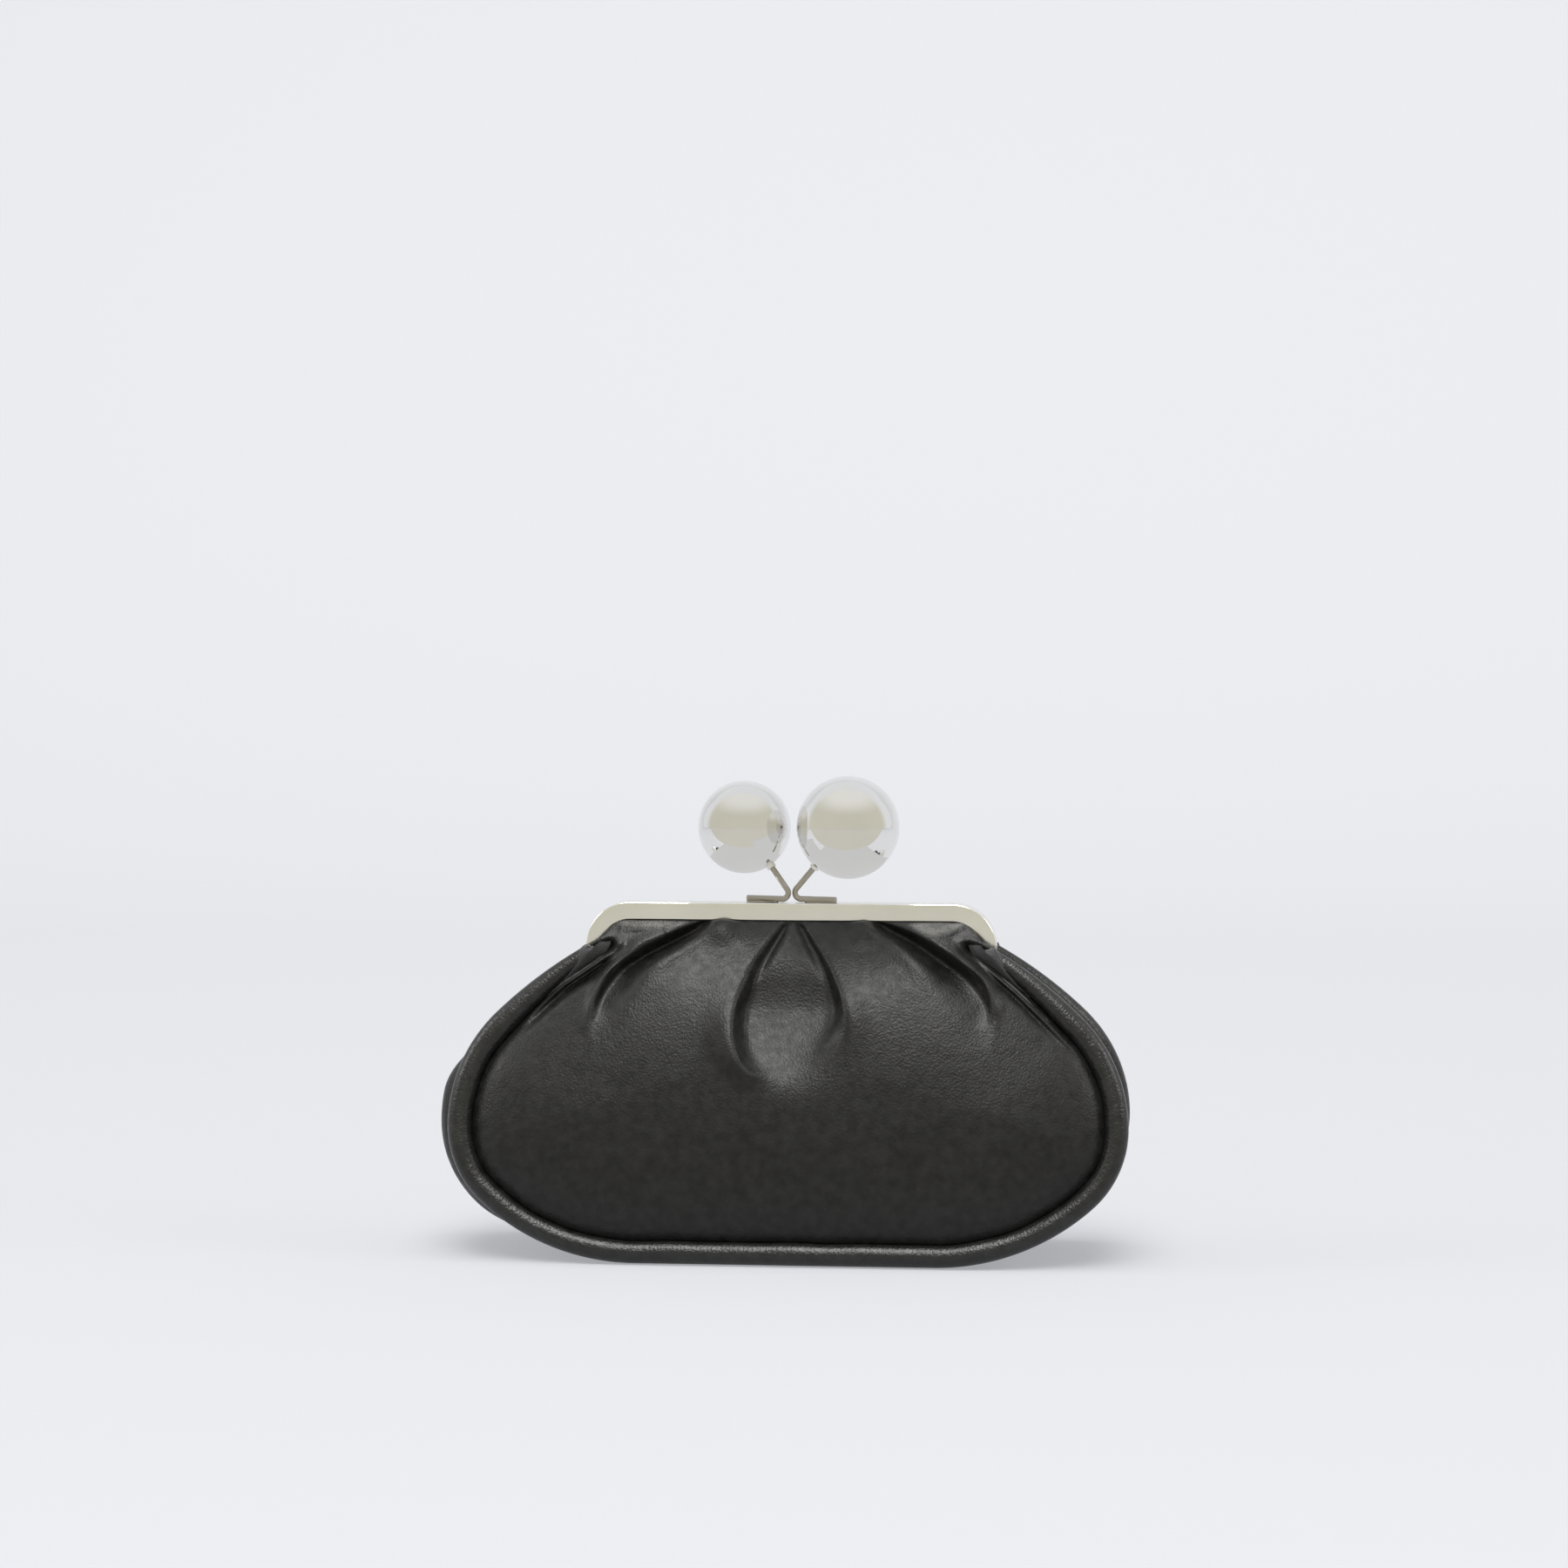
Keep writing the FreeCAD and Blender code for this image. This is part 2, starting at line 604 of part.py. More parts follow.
def crowned_sheet(label, shell_inset, thickness, drop, clear_radius):
    body = new_body(label)
    roll_edge = f"({roll_radius} + soft_gap)"
    for kind, inset, sink in (("Additive", shell_inset, drop),
                              ("Subtractive", f"({shell_inset} + {thickness})", "leather")):
        sections = []
        for number, (rise, way_in, top, half, spread, fall, thin) in enumerate(swell_outlines):
            height = f"{rise} * panel_crown - {thin} * {inset}" if number else f"-{sink}"
            edge = f"({roll_edge} + {way_in} * (low_corner - {roll_edge}) + {inset})"
            side = f"({half} * {panel_side} - {inset})"
            upper = f"({top} * {panel_top} - {inset})"
            corners = seam_outline(f"(-{edge})", side, [straight(side, upper)],
                                   pleated_edge(upper, spread, fall, inset))
            sketch = seam_sketch(body, f"{label}_{kind}_{number}", height)
            outline(sketch, corners)
            sections.append(sketch)
        crown = seam_sketch(body, f"{label}_{kind}_crown", f"panel_crown - {inset}")
        outline(crown, shrink(corners, crown_sideways, crown_upright, crown_middle))
        loft(body, kind, sections + [crown])
    level = new_sketch(body, label + "_level", "XZ_Plane")
    rectangle(level, f"-{seam_half}", hinge_height, seam_half, f"{hinge_height} + 2 * hinge_drop")
    pocket(body, level, "2 * seam_depth", both_ways=True)
    swept = new_sketch(body, label + "_swept", "YZ_Plane")
    circle(swept, "0", hinge_height, clear_radius)
    pocket(body, swept, f"2 * ({gather_half} + gather_gap)", both_ways=True)
    return body


# The closed ring sector round the hinge between two radii and two turns from the top
def hinge_band(sketch, outer, inner, first_turn, last_turn):
    corners = [[(f"-{radius} * sin({turn})", f"{hinge_height} + {radius} * cos({turn})")
                for turn in (first_turn, last_turn)] for radius in (outer, inner)]
    outline(sketch, [(*corners[0][0], outer, 1), (*corners[0][1], None, None),
                     (*corners[1][1], inner, -1), (*corners[1][0], None, None)])


front_panel = crowned_sheet("front_panel", "0", "leather", "0", bar_underside_radius)
pleat_back = new_sketch(front_panel, "front_panel_pleat_back", "YZ_Plane")
hinge_band(pleat_back, f"({bar_underside_radius} + leather)", bar_underside_radius, "90", "pleat_back_turn")
pad(front_panel, pleat_back, "2 * (pleat_right + pleat_lip)", both_ways=True)
front_lining = crowned_sheet("front_lining", "(leather + soft_gap)", "lining", "leather",
                             f"({bar_underside_radius} + leather + soft_gap)")
mirrored_copy(front_panel, "back_panel", across_y)
mirrored_copy(front_lining, "back_lining", across_y)


# Gathered leather: it leaves the channel under the bar and curls round the hinge axis, so that it
# turns inside the panels when the frame opens.
gather_radius = f"({bar_underside_radius} - gather_gap)"
tongue_half = f"({half_frame} - frame_corner)"
tongue_front = f"({frame_front} - channel_wall - running_gap)"
clear_of_face = f"({frame_front} + gather_gap)"


def around_hinge(radius, forward):
    return (f"-{forward}", f"{hinge_height} + sqrt({radius}^2 - {forward}^2)")


def gather(label, outer, thickness, tongue_outer, tongue_thickness):
    body = new_body(label)
    inner = f"({outer} - {thickness})"
    curl = new_sketch(body, label + "_curl", "YZ_Plane")
    low = [(f"-{radius} * sin(gather_turn)", f"{hinge_height} + {radius} * cos(gather_turn)")
           for radius in (outer, inner)]
    top = [around_hinge(radius, clear_of_face) for radius in (outer, inner)]
    outline(curl, [(*top[0], outer, 1), (*low[0], None, None), (*low[1], inner, -1), (*top[1], None, None)])
    pad(body, curl, f"2 * {gather_half}", both_ways=True)
    tongue_inner = f"({tongue_outer} - {tongue_thickness})"
    bridge = f"({clear_of_face} + leather)"
    tongue = new_sketch(body, label + "_tongue", "YZ_Plane")
    tongue_top = "frame_top - frame_face + tongue_depth"
    outline(tongue, [straight(f"-{tongue_outer}", tongue_top),
                     (*around_hinge(outer, tongue_outer), outer, 1),
                     (*around_hinge(outer, bridge), None, None),
                     (*around_hinge(inner, bridge), inner, -1),
                     (*around_hinge(inner, tongue_inner), None, None),
                     straight(f"-{tongue_inner}", tongue_top)])
    pad(body, tongue, f"2 * {tongue_half}", both_ways=True)
    return body


front_gather = gather("front_gather", gather_radius, "leather", tongue_front, "tongue_leather")
lining_front = f"({tongue_front} - tongue_leather - running_gap)"
front_gather_lining = gather("front_gather_lining", f"({gather_radius} - leather - soft_gap)", "lining",
                             lining_front, "lining")
mirrored_copy(front_gather, "back_gather", across_y)
mirrored_copy(front_gather_lining, "back_gather_lining", across_y)


# Paper cord pressed into the channel behind the leather, all round the arch
def channel_cord(label):
    body = new_body(label)
    inset = "(channel_wall + 2 * ear_thickness + channel_cord / 2)"
    cord_foot = f"({leg_end} + leg_gap)"
    back = "(parting_gap / 2 + channel_wall + running_gap + channel_cord / 2)"
    path = new_sketch(body, label + "_path", "XZ_Plane", ("0", "0", back))
    outline(path, arch_line(inset, cord_foot), closed=False)
    profile = new_sketch(body, label + "_profile", "XY_Plane", ("0", "0", cord_foot))
    circle(profile, f"-({half_frame} - {inset})", f"-{back}", "channel_cord / 2")
    pipe(body, profile, path)
    return body


front_cord = channel_cord("front_channel_cord")
mirrored_copy(front_cord, "back_channel_cord", across_y)


doc.recompute()
faults = [thing.Name for thing in doc.Objects if {"Invalid", "Error"} & set(thing.State)]
faults += [thing.Label for thing in made if thing.Shape.isNull() or not thing.Shape.isValid()]
if faults:
    raise RuntimeError("failed: " + ", ".join(faults))
os.makedirs("parts", exist_ok=True)
for thing in made:
    thing.Shape.exportStep(f"parts/{thing.Label}.step")
    box = thing.Shape.optimalBoundingBox(False)
    print(f"{thing.Label}: {len(thing.Shape.Solids)} solid, {thing.Shape.Volume:.1f} mm3, "
          f"x {box.XMin:.2f} {box.XMax:.2f}, y {box.YMin:.2f} {box.YMax:.2f}, z {box.ZMin:.2f} {box.ZMax:.2f}")
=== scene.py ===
import math

import bmesh
import bpy
import numpy as np
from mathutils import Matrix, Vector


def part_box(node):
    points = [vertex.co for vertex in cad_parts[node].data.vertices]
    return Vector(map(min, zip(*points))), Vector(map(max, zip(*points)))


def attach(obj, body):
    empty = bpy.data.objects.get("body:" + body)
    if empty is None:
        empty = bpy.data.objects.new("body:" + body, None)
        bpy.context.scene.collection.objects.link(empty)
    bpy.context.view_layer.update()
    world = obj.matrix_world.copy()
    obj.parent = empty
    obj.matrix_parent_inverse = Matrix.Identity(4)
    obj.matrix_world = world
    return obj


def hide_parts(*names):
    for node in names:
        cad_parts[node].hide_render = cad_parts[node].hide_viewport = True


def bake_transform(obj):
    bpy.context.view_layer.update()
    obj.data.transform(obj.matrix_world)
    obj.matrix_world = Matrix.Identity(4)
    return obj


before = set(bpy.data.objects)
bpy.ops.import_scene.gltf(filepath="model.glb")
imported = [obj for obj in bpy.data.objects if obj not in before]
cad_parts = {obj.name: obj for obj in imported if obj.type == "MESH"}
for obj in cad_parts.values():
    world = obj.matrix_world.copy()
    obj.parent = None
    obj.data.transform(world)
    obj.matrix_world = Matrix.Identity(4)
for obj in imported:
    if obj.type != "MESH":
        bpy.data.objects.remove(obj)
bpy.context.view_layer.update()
mm = 0.001
print("frame loaded:", len(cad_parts), "nodes")


# Quads of a grid of points, row by row. Closed columns join the last one to the first.
def gridQuads(rows, columns, closeColumns=False):
    columnIndex = np.arange(columns if closeColumns else columns - 1)
    r, c = np.meshgrid(np.arange(rows - 1), columnIndex, indexing="ij")
    nextR, nextC = r + 1, (c + 1) % columns
    corners = [r * columns + c, r * columns + nextC, nextR * columns + nextC, nextR * columns + c]
    return np.stack(corners, axis=-1).reshape(-1, 4)


# A smooth mesh object from points in millimetres. A closed shell is merged at its seams and turned
# outwards.
def makePiece(name, points, faces, material, closed=True, uv=None, sharpAngle=None):
    mesh = bpy.data.meshes.new(name)
    mesh.from_pydata((np.asarray(points).reshape(-1, 3) * mm).tolist(), [], [list(face) for face in faces])
    if uv is not None:
        corner = np.empty(len(mesh.loops), dtype=np.int32)
        mesh.loops.foreach_get("vertex_index", corner)
        layer = mesh.uv_layers.new(name="alongAndAcross")
        layer.data.foreach_set("uv", (np.asarray(uv).reshape(-1, 2) * mm)[corner].astype(np.float32).ravel())
    if closed:
        work = bmesh.new()
        work.from_mesh(mesh)
        bmesh.ops.remove_doubles(work, verts=work.verts, dist=1e-7)
        bmesh.ops.recalc_face_normals(work, faces=work.faces)
        work.to_mesh(mesh)
        work.free()
    mesh.polygons.foreach_set("use_smooth", np.ones(len(mesh.polygons), dtype=bool))
    if sharpAngle is not None:
        mesh.set_sharp_from_angle(angle=math.radians(sharpAngle))
    mesh.update()
    piece = bpy.data.objects.new(name, mesh)
    bpy.context.scene.collection.objects.link(piece)
    mesh.materials.append(material)
    return piece


# Several meshes as one: each one's faces are counted on from the points before it.
def joined(parts):
    points = np.concatenate([np.asarray(p).reshape(-1, 3) for p, faces in parts])
    starts = np.cumsum([0] + [np.asarray(p).reshape(-1, 3).shape[0] for p, faces in parts])
    faces = [[int(i + start) for i in face] for (p, group), start in zip(parts, starts) for face in group]
    return points, faces


def smoothStep(value, low, high):
    share = np.clip((value - low) / (high - low), 0.0, 1.0)
    return share * share * (3.0 - 2.0 * share)


def unit(vectors):
    return vectors / np.maximum(np.linalg.norm(vectors, axis=-1, keepdims=True), 1e-12)


# Catmull-Rom curve through a few points: a cubic between each pair with the chord of its neighbours as
# tangent.
def smoothLine(points, count):
    knots = np.asarray(points, float)
    padded = np.vstack([2 * knots[0] - knots[1], knots, 2 * knots[-1] - knots[-2]])
    place = np.linspace(0, len(knots) - 1 - 1e-9, count)
    cell = place.astype(int)
    t = (place - cell)[:, None]
    p0, p1, p2, p3 = (padded[cell + k] for k in range(4))
    return 0.5 * (2 * p1 + (p2 - p0) * t + (2 * p0 - 5 * p1 + 4 * p2 - p3) * t ** 2
                  + (3 * p1 - p0 - 3 * p2 + p3) * t ** 3)


# Distance of points from a line of short segments, and the side (left is +1).
def nearLine(points, line):
    start = line[:-1].astype(np.float32)
    step = (line[1:] - line[:-1]).astype(np.float32)
    away = points.astype(np.float32)[:, None, :] - start[None]
    share = np.clip((away * step).sum(-1) / (step ** 2).sum(-1), 0, 1)
    gap = away - share[..., None] * step
    square = (gap ** 2).sum(-1)
    best = square.argmin(1)
    rows = np.arange(len(points))
    cross = step[best, 0] * away[rows, best, 1] - step[best, 1] * away[rows, best, 0]
    return np.sqrt(square[rows, best]).astype(float), np.sign(cross).astype(float)


# Values given along a line, as points near it take them: a mean over the line that favours its nearest
# part, so that nothing jumps where two parts of a bent line are as near. Also the distance, and how far the
# point is to the left.
def valuesNear(points, line, values, blur):
    distance = nearLine(points, line)[0]
    gap = np.sqrt(((points[:, None] - line[None]) ** 2).sum(-1))
    weight = np.exp((gap.min(axis=1, keepdims=True) - gap) / blur)
    weight /= weight.sum(axis=1, keepdims=True)
    tangent = unit(np.gradient(line, axis=0))
    leftWay = np.stack([-tangent[:, 1], tangent[:, 0]], axis=-1)
    toLeft = points @ leftWay.T - (line * leftWay).sum(-1)
    return distance, weight @ values, (weight * toLeft).sum(axis=1)


# A tube: circles of the given radii about a path, in frames made from the path's direction and one fixed
# side vector.
def tubeGrid(path, radii, side, sides):
    direction = unit(np.gradient(path, axis=0))
    first = unit(side - (direction @ side)[:, None] * direction)
    second = np.cross(direction, first)
    angle = np.linspace(0, 2 * math.pi, sides, endpoint=False)
    ring = np.cos(angle)[None, :, None] * first[:, None] + np.sin(angle)[None, :, None] * second[:, None]
    return path[:, None] + np.asarray(radii)[:, None, None] * ring


# The same path with rounded ends: quarter ellipses that shrink to a point past each end, flatter with less
# bulge.
def roundEnds(path, radii, steps=6, bulge=1.0):
    swing = np.linspace(0, math.pi / 2, steps + 1)[1:]
    startOut, endOut = unit(path[:1] - path[1:2]), unit(path[-1:] - path[-2:-1])
    startPath = path[:1] + startOut * (bulge * radii[0] * np.sin(swing))[:, None]
    endPath = path[-1:] + endOut * (bulge * radii[-1] * np.sin(swing))[:, None]
    startRadii, endRadii = radii[0] * np.cos(swing), radii[-1] * np.cos(swing)
    return (np.vstack([startPath[::-1], path, endPath]),
            np.concatenate([startRadii[::-1], radii, endRadii]))


# Length along a path up to each of its points.
def lengthAlong(path):
    return np.concatenate([[0], np.cumsum(np.linalg.norm(np.diff(path, axis=0), axis=1))])


# A tube with rounded ends along a path, with length and girth as its UV map.
def buildTube(name, path, radii, side, sides, girthRadius, material):
    path, radii = roundEnds(path, radii)
    around = np.linspace(0, 2 * math.pi * girthRadius, sides, endpoint=False)
    uv = np.stack(np.meshgrid(lengthAlong(path), around, indexing="ij"), axis=-1)
    quads = gridQuads(len(path), sides, closeColumns=True)
    return makePiece(name, tubeGrid(path, radii, side, sides), quads, material, uv=uv)


# A turned piece: (radius, distance) points carried round an axis through origin.
def turned(profile, origin, axis, sides):
    profile = np.asarray(profile, float)
    axis = unit(np.asarray(axis, float))
    helper = np.array([0.0, 0.0, 1.0]) if abs(axis[2]) < 0.9 else np.array([1.0, 0.0, 0.0])
    first = unit(np.cross(axis, helper))
    second = np.cross(axis, first)
    angle = np.linspace(0, 2 * math.pi, sides, endpoint=False)
    ring = np.cos(angle)[:, None] * first + np.sin(angle)[:, None] * second
    points = origin + profile[:, None, 1:] * axis + profile[:, None, :1] * ring[None]
    return points, gridQuads(len(profile), sides, closeColumns=True)


# A closed outline with each corner rounded by its own radius, as short arcs of equal steps.
def roundedOutline(corners, steps=4):
    spots = np.array([corner[:2] for corner in corners], float)
    outline = []
    for i, corner in enumerate(corners):
        back, ahead = unit(spots[i - 1] - spots[i]), unit(spots[(i + 1) % len(spots)] - spots[i])
        half = math.acos(float(np.clip(back @ ahead, -1, 1))) / 2
        reach = corner[2] / math.tan(half)
        middle = spots[i] + unit(back + ahead) * corner[2] / math.sin(half)
        start, end = spots[i] + back * reach - middle, spots[i] + ahead * reach - middle
        blend = np.linspace(0, 1, steps + 1)[:, None]
        outline.append(middle + unit(start * (1 - blend) + end * blend) * corner[2])
    return np.concatenate(outline)


def newMaterial(name):
    material = bpy.data.materials.new(name)
    material.use_nodes = True
    return material, material.node_tree.nodes["Principled BSDF"]


# A node in the tree of a material or of the surround, with its settings and the values of its sockets.
def addNode(owner, kind, values=(), **settings):
    node = owner.node_tree.nodes.new(kind)
    for name, value in settings.items():
        setattr(node, name, value)
    for name, value in dict(values).items():
        node.inputs[name].default_value = value
    return node


def join(owner, fromNode, fromName, toNode, toName):
    owner.node_tree.links.new(fromNode.outputs[fromName], toNode.inputs[toName])


# A node whose Vector socket reads another node's output.
def readNode(owner, kind, source, output, values=(), **settings):
    node = addNode(owner, kind, values, **settings)
    join(owner, source, output, node, "Vector")
    return node


def noiseNode(owner, coordinate, output, scale, detail):
    return readNode(owner, "ShaderNodeTexNoise", coordinate, output, {"Scale": scale, "Detail": detail})


noiseSpan = {"From Min": 0.3, "From Max": 0.7}  # most of what the noise gives lies between these


# A noise value mapped to a range, for roughness and colour that vary over a surface.
def noiseRange(owner, coordinate, scale, detail, low, high):
    noise = noiseNode(owner, coordinate, "Object", scale, detail)
    mapped = addNode(owner, "ShaderNodeMapRange", {**noiseSpan, "To Min": low, "To Max": high})
    join(owner, noise, "Fac", mapped, "Value")
    return mapped


# A bump from a node's output, laid over an earlier bump where one is given.
def bumpOver(owner, source, output, strength, distance, below=None, invert=False):
    bump = addNode(owner, "ShaderNodeBump", {"Strength": strength, "Distance": distance}, invert=invert)
    join(owner, source, output, bump, "Height")
    if below:
        join(owner, below, "Normal", bump, "Normal")
    return bump


# Two colours mixed by a node's output.
def toneMix(owner, source, output, first, second):
    tone = addNode(owner, "ShaderNodeMix", {"A": first, "B": second}, data_type="RGBA")
    join(owner, source, output, tone, "Factor")
    return tone


def dressShader(material, shader, tone, gloss, bump):
    join(material, tone, "Result", shader, "Base Color")
    join(material, gloss, "Result", shader, "Roughness")
    join(material, bump, "Normal", shader, "Normal")
    return material


leatherLook = {
    "dark": (0.0052, 0.0051, 0.0050, 1), "pale": (0.0130, 0.0128, 0.0126, 1), "driftScale": 260,
    "roughLow": 0.34, "roughHigh": 0.48, "glossScale": 340, "specular": 0.27,
    "warpScale": 600, "warpReach": (0.0006, 0.0006, 0.0006), "cellSoftness": 0.35,
    "grainScale": 1050, "grainStrength": 0.55, "grainHeight": 0.00020,
    "poreScale": 2600, "poreStrength": 0.15, "poreHeight": 0.00006,
    "dentScale": 120, "dentStrength": 0.20, "dentHeight": 0.0006,
}
pipingLook = dict(leatherLook, roughLow=0.27, roughHigh=0.38, specular=0.42)
pipingWrinkles = {"along": 800, "around": 60, "strength": 0.5, "height": 0.0003}


# Leather: pebbled cells, finer pores and slow dents, each a bump on the last, with colour and gloss that
# drift.
def leatherMaterial(name, look, wrinkles=None):
    material, shader = newMaterial(name)
    coordinate = addNode(material, "ShaderNodeTexCoord")
    warp = noiseNode(material, coordinate, "Object", look["warpScale"], 2)
    bent = addNode(material, "ShaderNodeVectorMath", {1: look["warpReach"]}, operation="MULTIPLY_ADD")
    join(material, warp, "Color", bent, 0)
    join(material, coordinate, "Object", bent, 2)
    cells = readNode(material, "ShaderNodeTexVoronoi", bent, "Vector",
                     {"Scale": look["grainScale"], "Smoothness": look["cellSoftness"]}, feature="SMOOTH_F1")
    pores = noiseNode(material, coordinate, "Object", look["poreScale"], 3)
    dents = noiseNode(material, coordinate, "Object", look["dentScale"], 3)
    bump = bumpOver(material, dents, "Fac", look["dentStrength"], look["dentHeight"])
    if wrinkles:
        stretch = readNode(material, "ShaderNodeMapping", coordinate, "UV",
                           {"Scale": (wrinkles["along"], wrinkles["around"], 1)})
        lines = noiseNode(material, stretch, "Vector", 1, 2)
        bump = bumpOver(material, lines, "Fac", wrinkles["strength"], wrinkles["height"], bump)
    bump = bumpOver(material, cells, "Distance", look["grainStrength"], look["grainHeight"], bump,
                    invert=True)
    bump = bumpOver(material, pores, "Fac", look["poreStrength"], look["poreHeight"], bump)
    drift = noiseRange(material, coordinate, look["driftScale"], 4, 0.0, 1.0)
    tone = toneMix(material, drift, "Result", look["dark"], look["pale"])
    gloss = noiseRange(material, coordinate, look["glossScale"], 3, look["roughLow"], look["roughHigh"])
    shader.inputs["Specular IOR Level"].default_value = look["specular"]
    return dressShader(material, shader, tone, gloss, bump)


metalLook = {"dullShare": 0.94, "driftScale": 45, "glossScale": 160, "rubHeight": 0.00005}


# Plated metal: faint rub marks in gloss and height, on a colour that drifts to a slightly duller one.
def metalMaterial(name, colour, roughLow, roughHigh, rubScale, rubStrength):
    look = metalLook
    material, shader = newMaterial(name)
    coordinate = addNode(material, "ShaderNodeTexCoord")
    shader.inputs["Metallic"].default_value = 1.0
    dull = tuple(channel * look["dullShare"] for channel in colour[:3]) + (1,)
    drift = noiseRange(material, coordinate, look["driftScale"], 3, 0.0, 1.0)
    tone = toneMix(material, drift, "Result", colour, dull)
    gloss = noiseRange(material, coordinate, look["glossScale"], 5, roughLow, roughHigh)
    rubs = noiseNode(material, coordinate, "Object", rubScale, 4)
    bump = bumpOver(material, rubs, "Fac", rubStrength, look["rubHeight"])
    return dressShader(material, shader, tone, gloss, bump)


twillLook = {
    "slant": (0.35, 0.9, 0.3), "ribs": {"Scale": 420, "Distortion": 0.6, "Detail": 1},
    "ribStrength": 0.5, "ribHeight": 0.00015, "threads": {"Scale": 900, "Distortion": 0.4, "Detail": 1},
    "threadStrength": 0.3, "threadHeight": 0.00008, "glossScale": 200, "roughLow": 0.72, "roughHigh": 0.9,
    "sheen": 0.15,
}


# Twill: slanting ribs crossed by finer threads, both as bands on Object coordinates.
def twillMaterial(name, dark, pale):
    look = twillLook
    material, shader = newMaterial(name)
    coordinate = addNode(material, "ShaderNodeTexCoord")
    slant = readNode(material, "ShaderNodeMapping", coordinate, "Object", {"Rotation": look["slant"]})
    ribs = readNode(material, "ShaderNodeTexWave", slant, "Vector", look["ribs"])
    threads = readNode(material, "ShaderNodeTexWave", coordinate, "Object", look["threads"],
                       bands_direction="Z")
    tone = toneMix(material, ribs, "Fac", dark, pale)
    bump = bumpOver(material, ribs, "Fac", look["ribStrength"], look["ribHeight"])
    bump = bumpOver(material, threads, "Fac", look["threadStrength"], look["threadHeight"], bump)
    gloss = noiseRange(material, coordinate, look["glossScale"], 3, look["roughLow"], look["roughHigh"])
    shader.inputs["Sheen Weight"].default_value = look["sheen"]
    return dressShader(material, shader, tone, gloss, bump)


cordLook = {
    "slant": (0, 0, 0.7), "waver": 0.8, "strength": 0.6, "height": 0.0003, "glossScale": 300,
    "roughLow": 0.7, "roughHigh": 0.92,
}


# Twisted cord: slanting strands along the cord's own length and girth.
def cordMaterial(name, dark, pale, strands):
    look = cordLook
    material, shader = newMaterial(name)
    coordinate = addNode(material, "ShaderNodeTexCoord")
    slant = readNode(material, "ShaderNodeMapping", coordinate, "UV", {"Rotation": look["slant"]})
    waves = readNode(material, "ShaderNodeTexWave", slant, "Vector",
                     {"Scale": strands, "Distortion": look["waver"], "Detail": 2})
    tone = toneMix(material, waves, "Fac", dark, pale)
    bump = bumpOver(material, waves, "Fac", look["strength"], look["height"])
    gloss = noiseRange(material, coordinate, look["glossScale"], 3, look["roughLow"], look["roughHigh"])
    return dressShader(material, shader, tone, gloss, bump)


blackLeather = leatherMaterial("blackLeather", leatherLook)
pipingLeather = leatherMaterial("pipingLeather", pipingLook, pipingWrinkles)
nickelPlate = metalMaterial("nickelPlate", (0.86, 0.85, 0.80, 1), 0.14, 0.24, 900, 0.05)
stemNickel = metalMaterial("stemNickel", (0.42, 0.39, 0.33, 1), 0.12, 0.22, 900, 0.05)
mirrorNickel = metalMaterial("mirrorNickel", (0.855, 0.85, 0.835, 1), 0.012, 0.04, 300, 0.006)
liningTwill = twillMaterial("liningTwill", (0.012, 0.012, 0.013, 1), (0.035, 0.035, 0.037, 1))
cottonCord = cordMaterial("cottonCord", (0.55, 0.50, 0.42, 1), (0.82, 0.79, 0.71, 1), 700)
paperCord = cordMaterial("paperCord", (0.42, 0.31, 0.20, 1), (0.70, 0.57, 0.42, 1), 1500)
print("materials made")


seam = {
    "lean": 12.5, "startDepth": 36.0, "startHeight": 5.3,  # the front seam's plane leans back from the base
    "flatHalf": 58.0,
    "arcs": [(86.5, 41.9), (36.0, 48.1), (56.0, 45.0), (166.0, 17.6)],  # radius and turn, from the base up
    "rollRadius": 5.0, "fineSteps": 6001,
}
leanSin, leanCos = math.sin(math.radians(seam["lean"])), math.cos(math.radians(seam["lean"]))


# A point of the front seam's plane at (u, v), raised by h to the front. The back seam's plane is its mirror
# image.
def onSeamPlane(u, v, h, facing):
    y = -seam["startDepth"] + v * leanSin - h * leanCos
    z = seam["startHeight"] + v * leanCos + h * leanSin
    return np.stack([u, facing * y, z], axis=-1)


# Half of the seam line: a straight base, then arcs. Headings are integrated along the length.
def seamHalf(count):
    lengths = [seam["flatHalf"]] + [radius * math.radians(turn) for radius, turn in seam["arcs"]]
    turns = np.cumsum([0.0, 0.0] + [math.radians(turn) for radius, turn in seam["arcs"]])
    ends = np.cumsum([0.0] + lengths)
    s = np.linspace(0, ends[-1], seam["fineSteps"])
    heading = np.interp(s, ends, turns)
    step = s[1] - s[0]
    u = np.concatenate([[0], np.cumsum((np.cos(heading[1:]) + np.cos(heading[:-1])) / 2 * step)])
    v = np.concatenate([[0], np.cumsum((np.sin(heading[1:]) + np.sin(heading[:-1])) / 2 * step)])
    at = np.linspace(0, ends[-1], count)
    turn = np.interp(at, s, heading)
    return at, np.interp(at, s, u), np.interp(at, s, v), turn


# The whole seam line from the left tip to the right tip, with its outward direction and the signed length
# from the base.
def seamLine(halfCount):
    at, u, v, turn = seamHalf(halfCount)
    outU, outV = np.sin(turn), -np.cos(turn)
    both = lambda right, left: np.concatenate([left[:0:-1], right])
    return both(at, -at), both(u, -u), both(v, v), both(outU, -outU), both(outV, outV)


rollShape = {
    "baseRadius": 4.35, "leftRadius": 4.95, "rightRadius": 4.55, "tipRadius": 2.7,
    "sideFrom": 6.0, "sideTo": 60.0, "tipTaper": 52.0, "tipTuck": 6.0, "tuckLength": 13.0,
    "columns": 260, "sides": 28, "waverRate": 0.21, "slowRate": 0.047,
    "coreShare": 0.55, "coreSides": 12, "coreTrim": 4, "waver": 0.09,
}


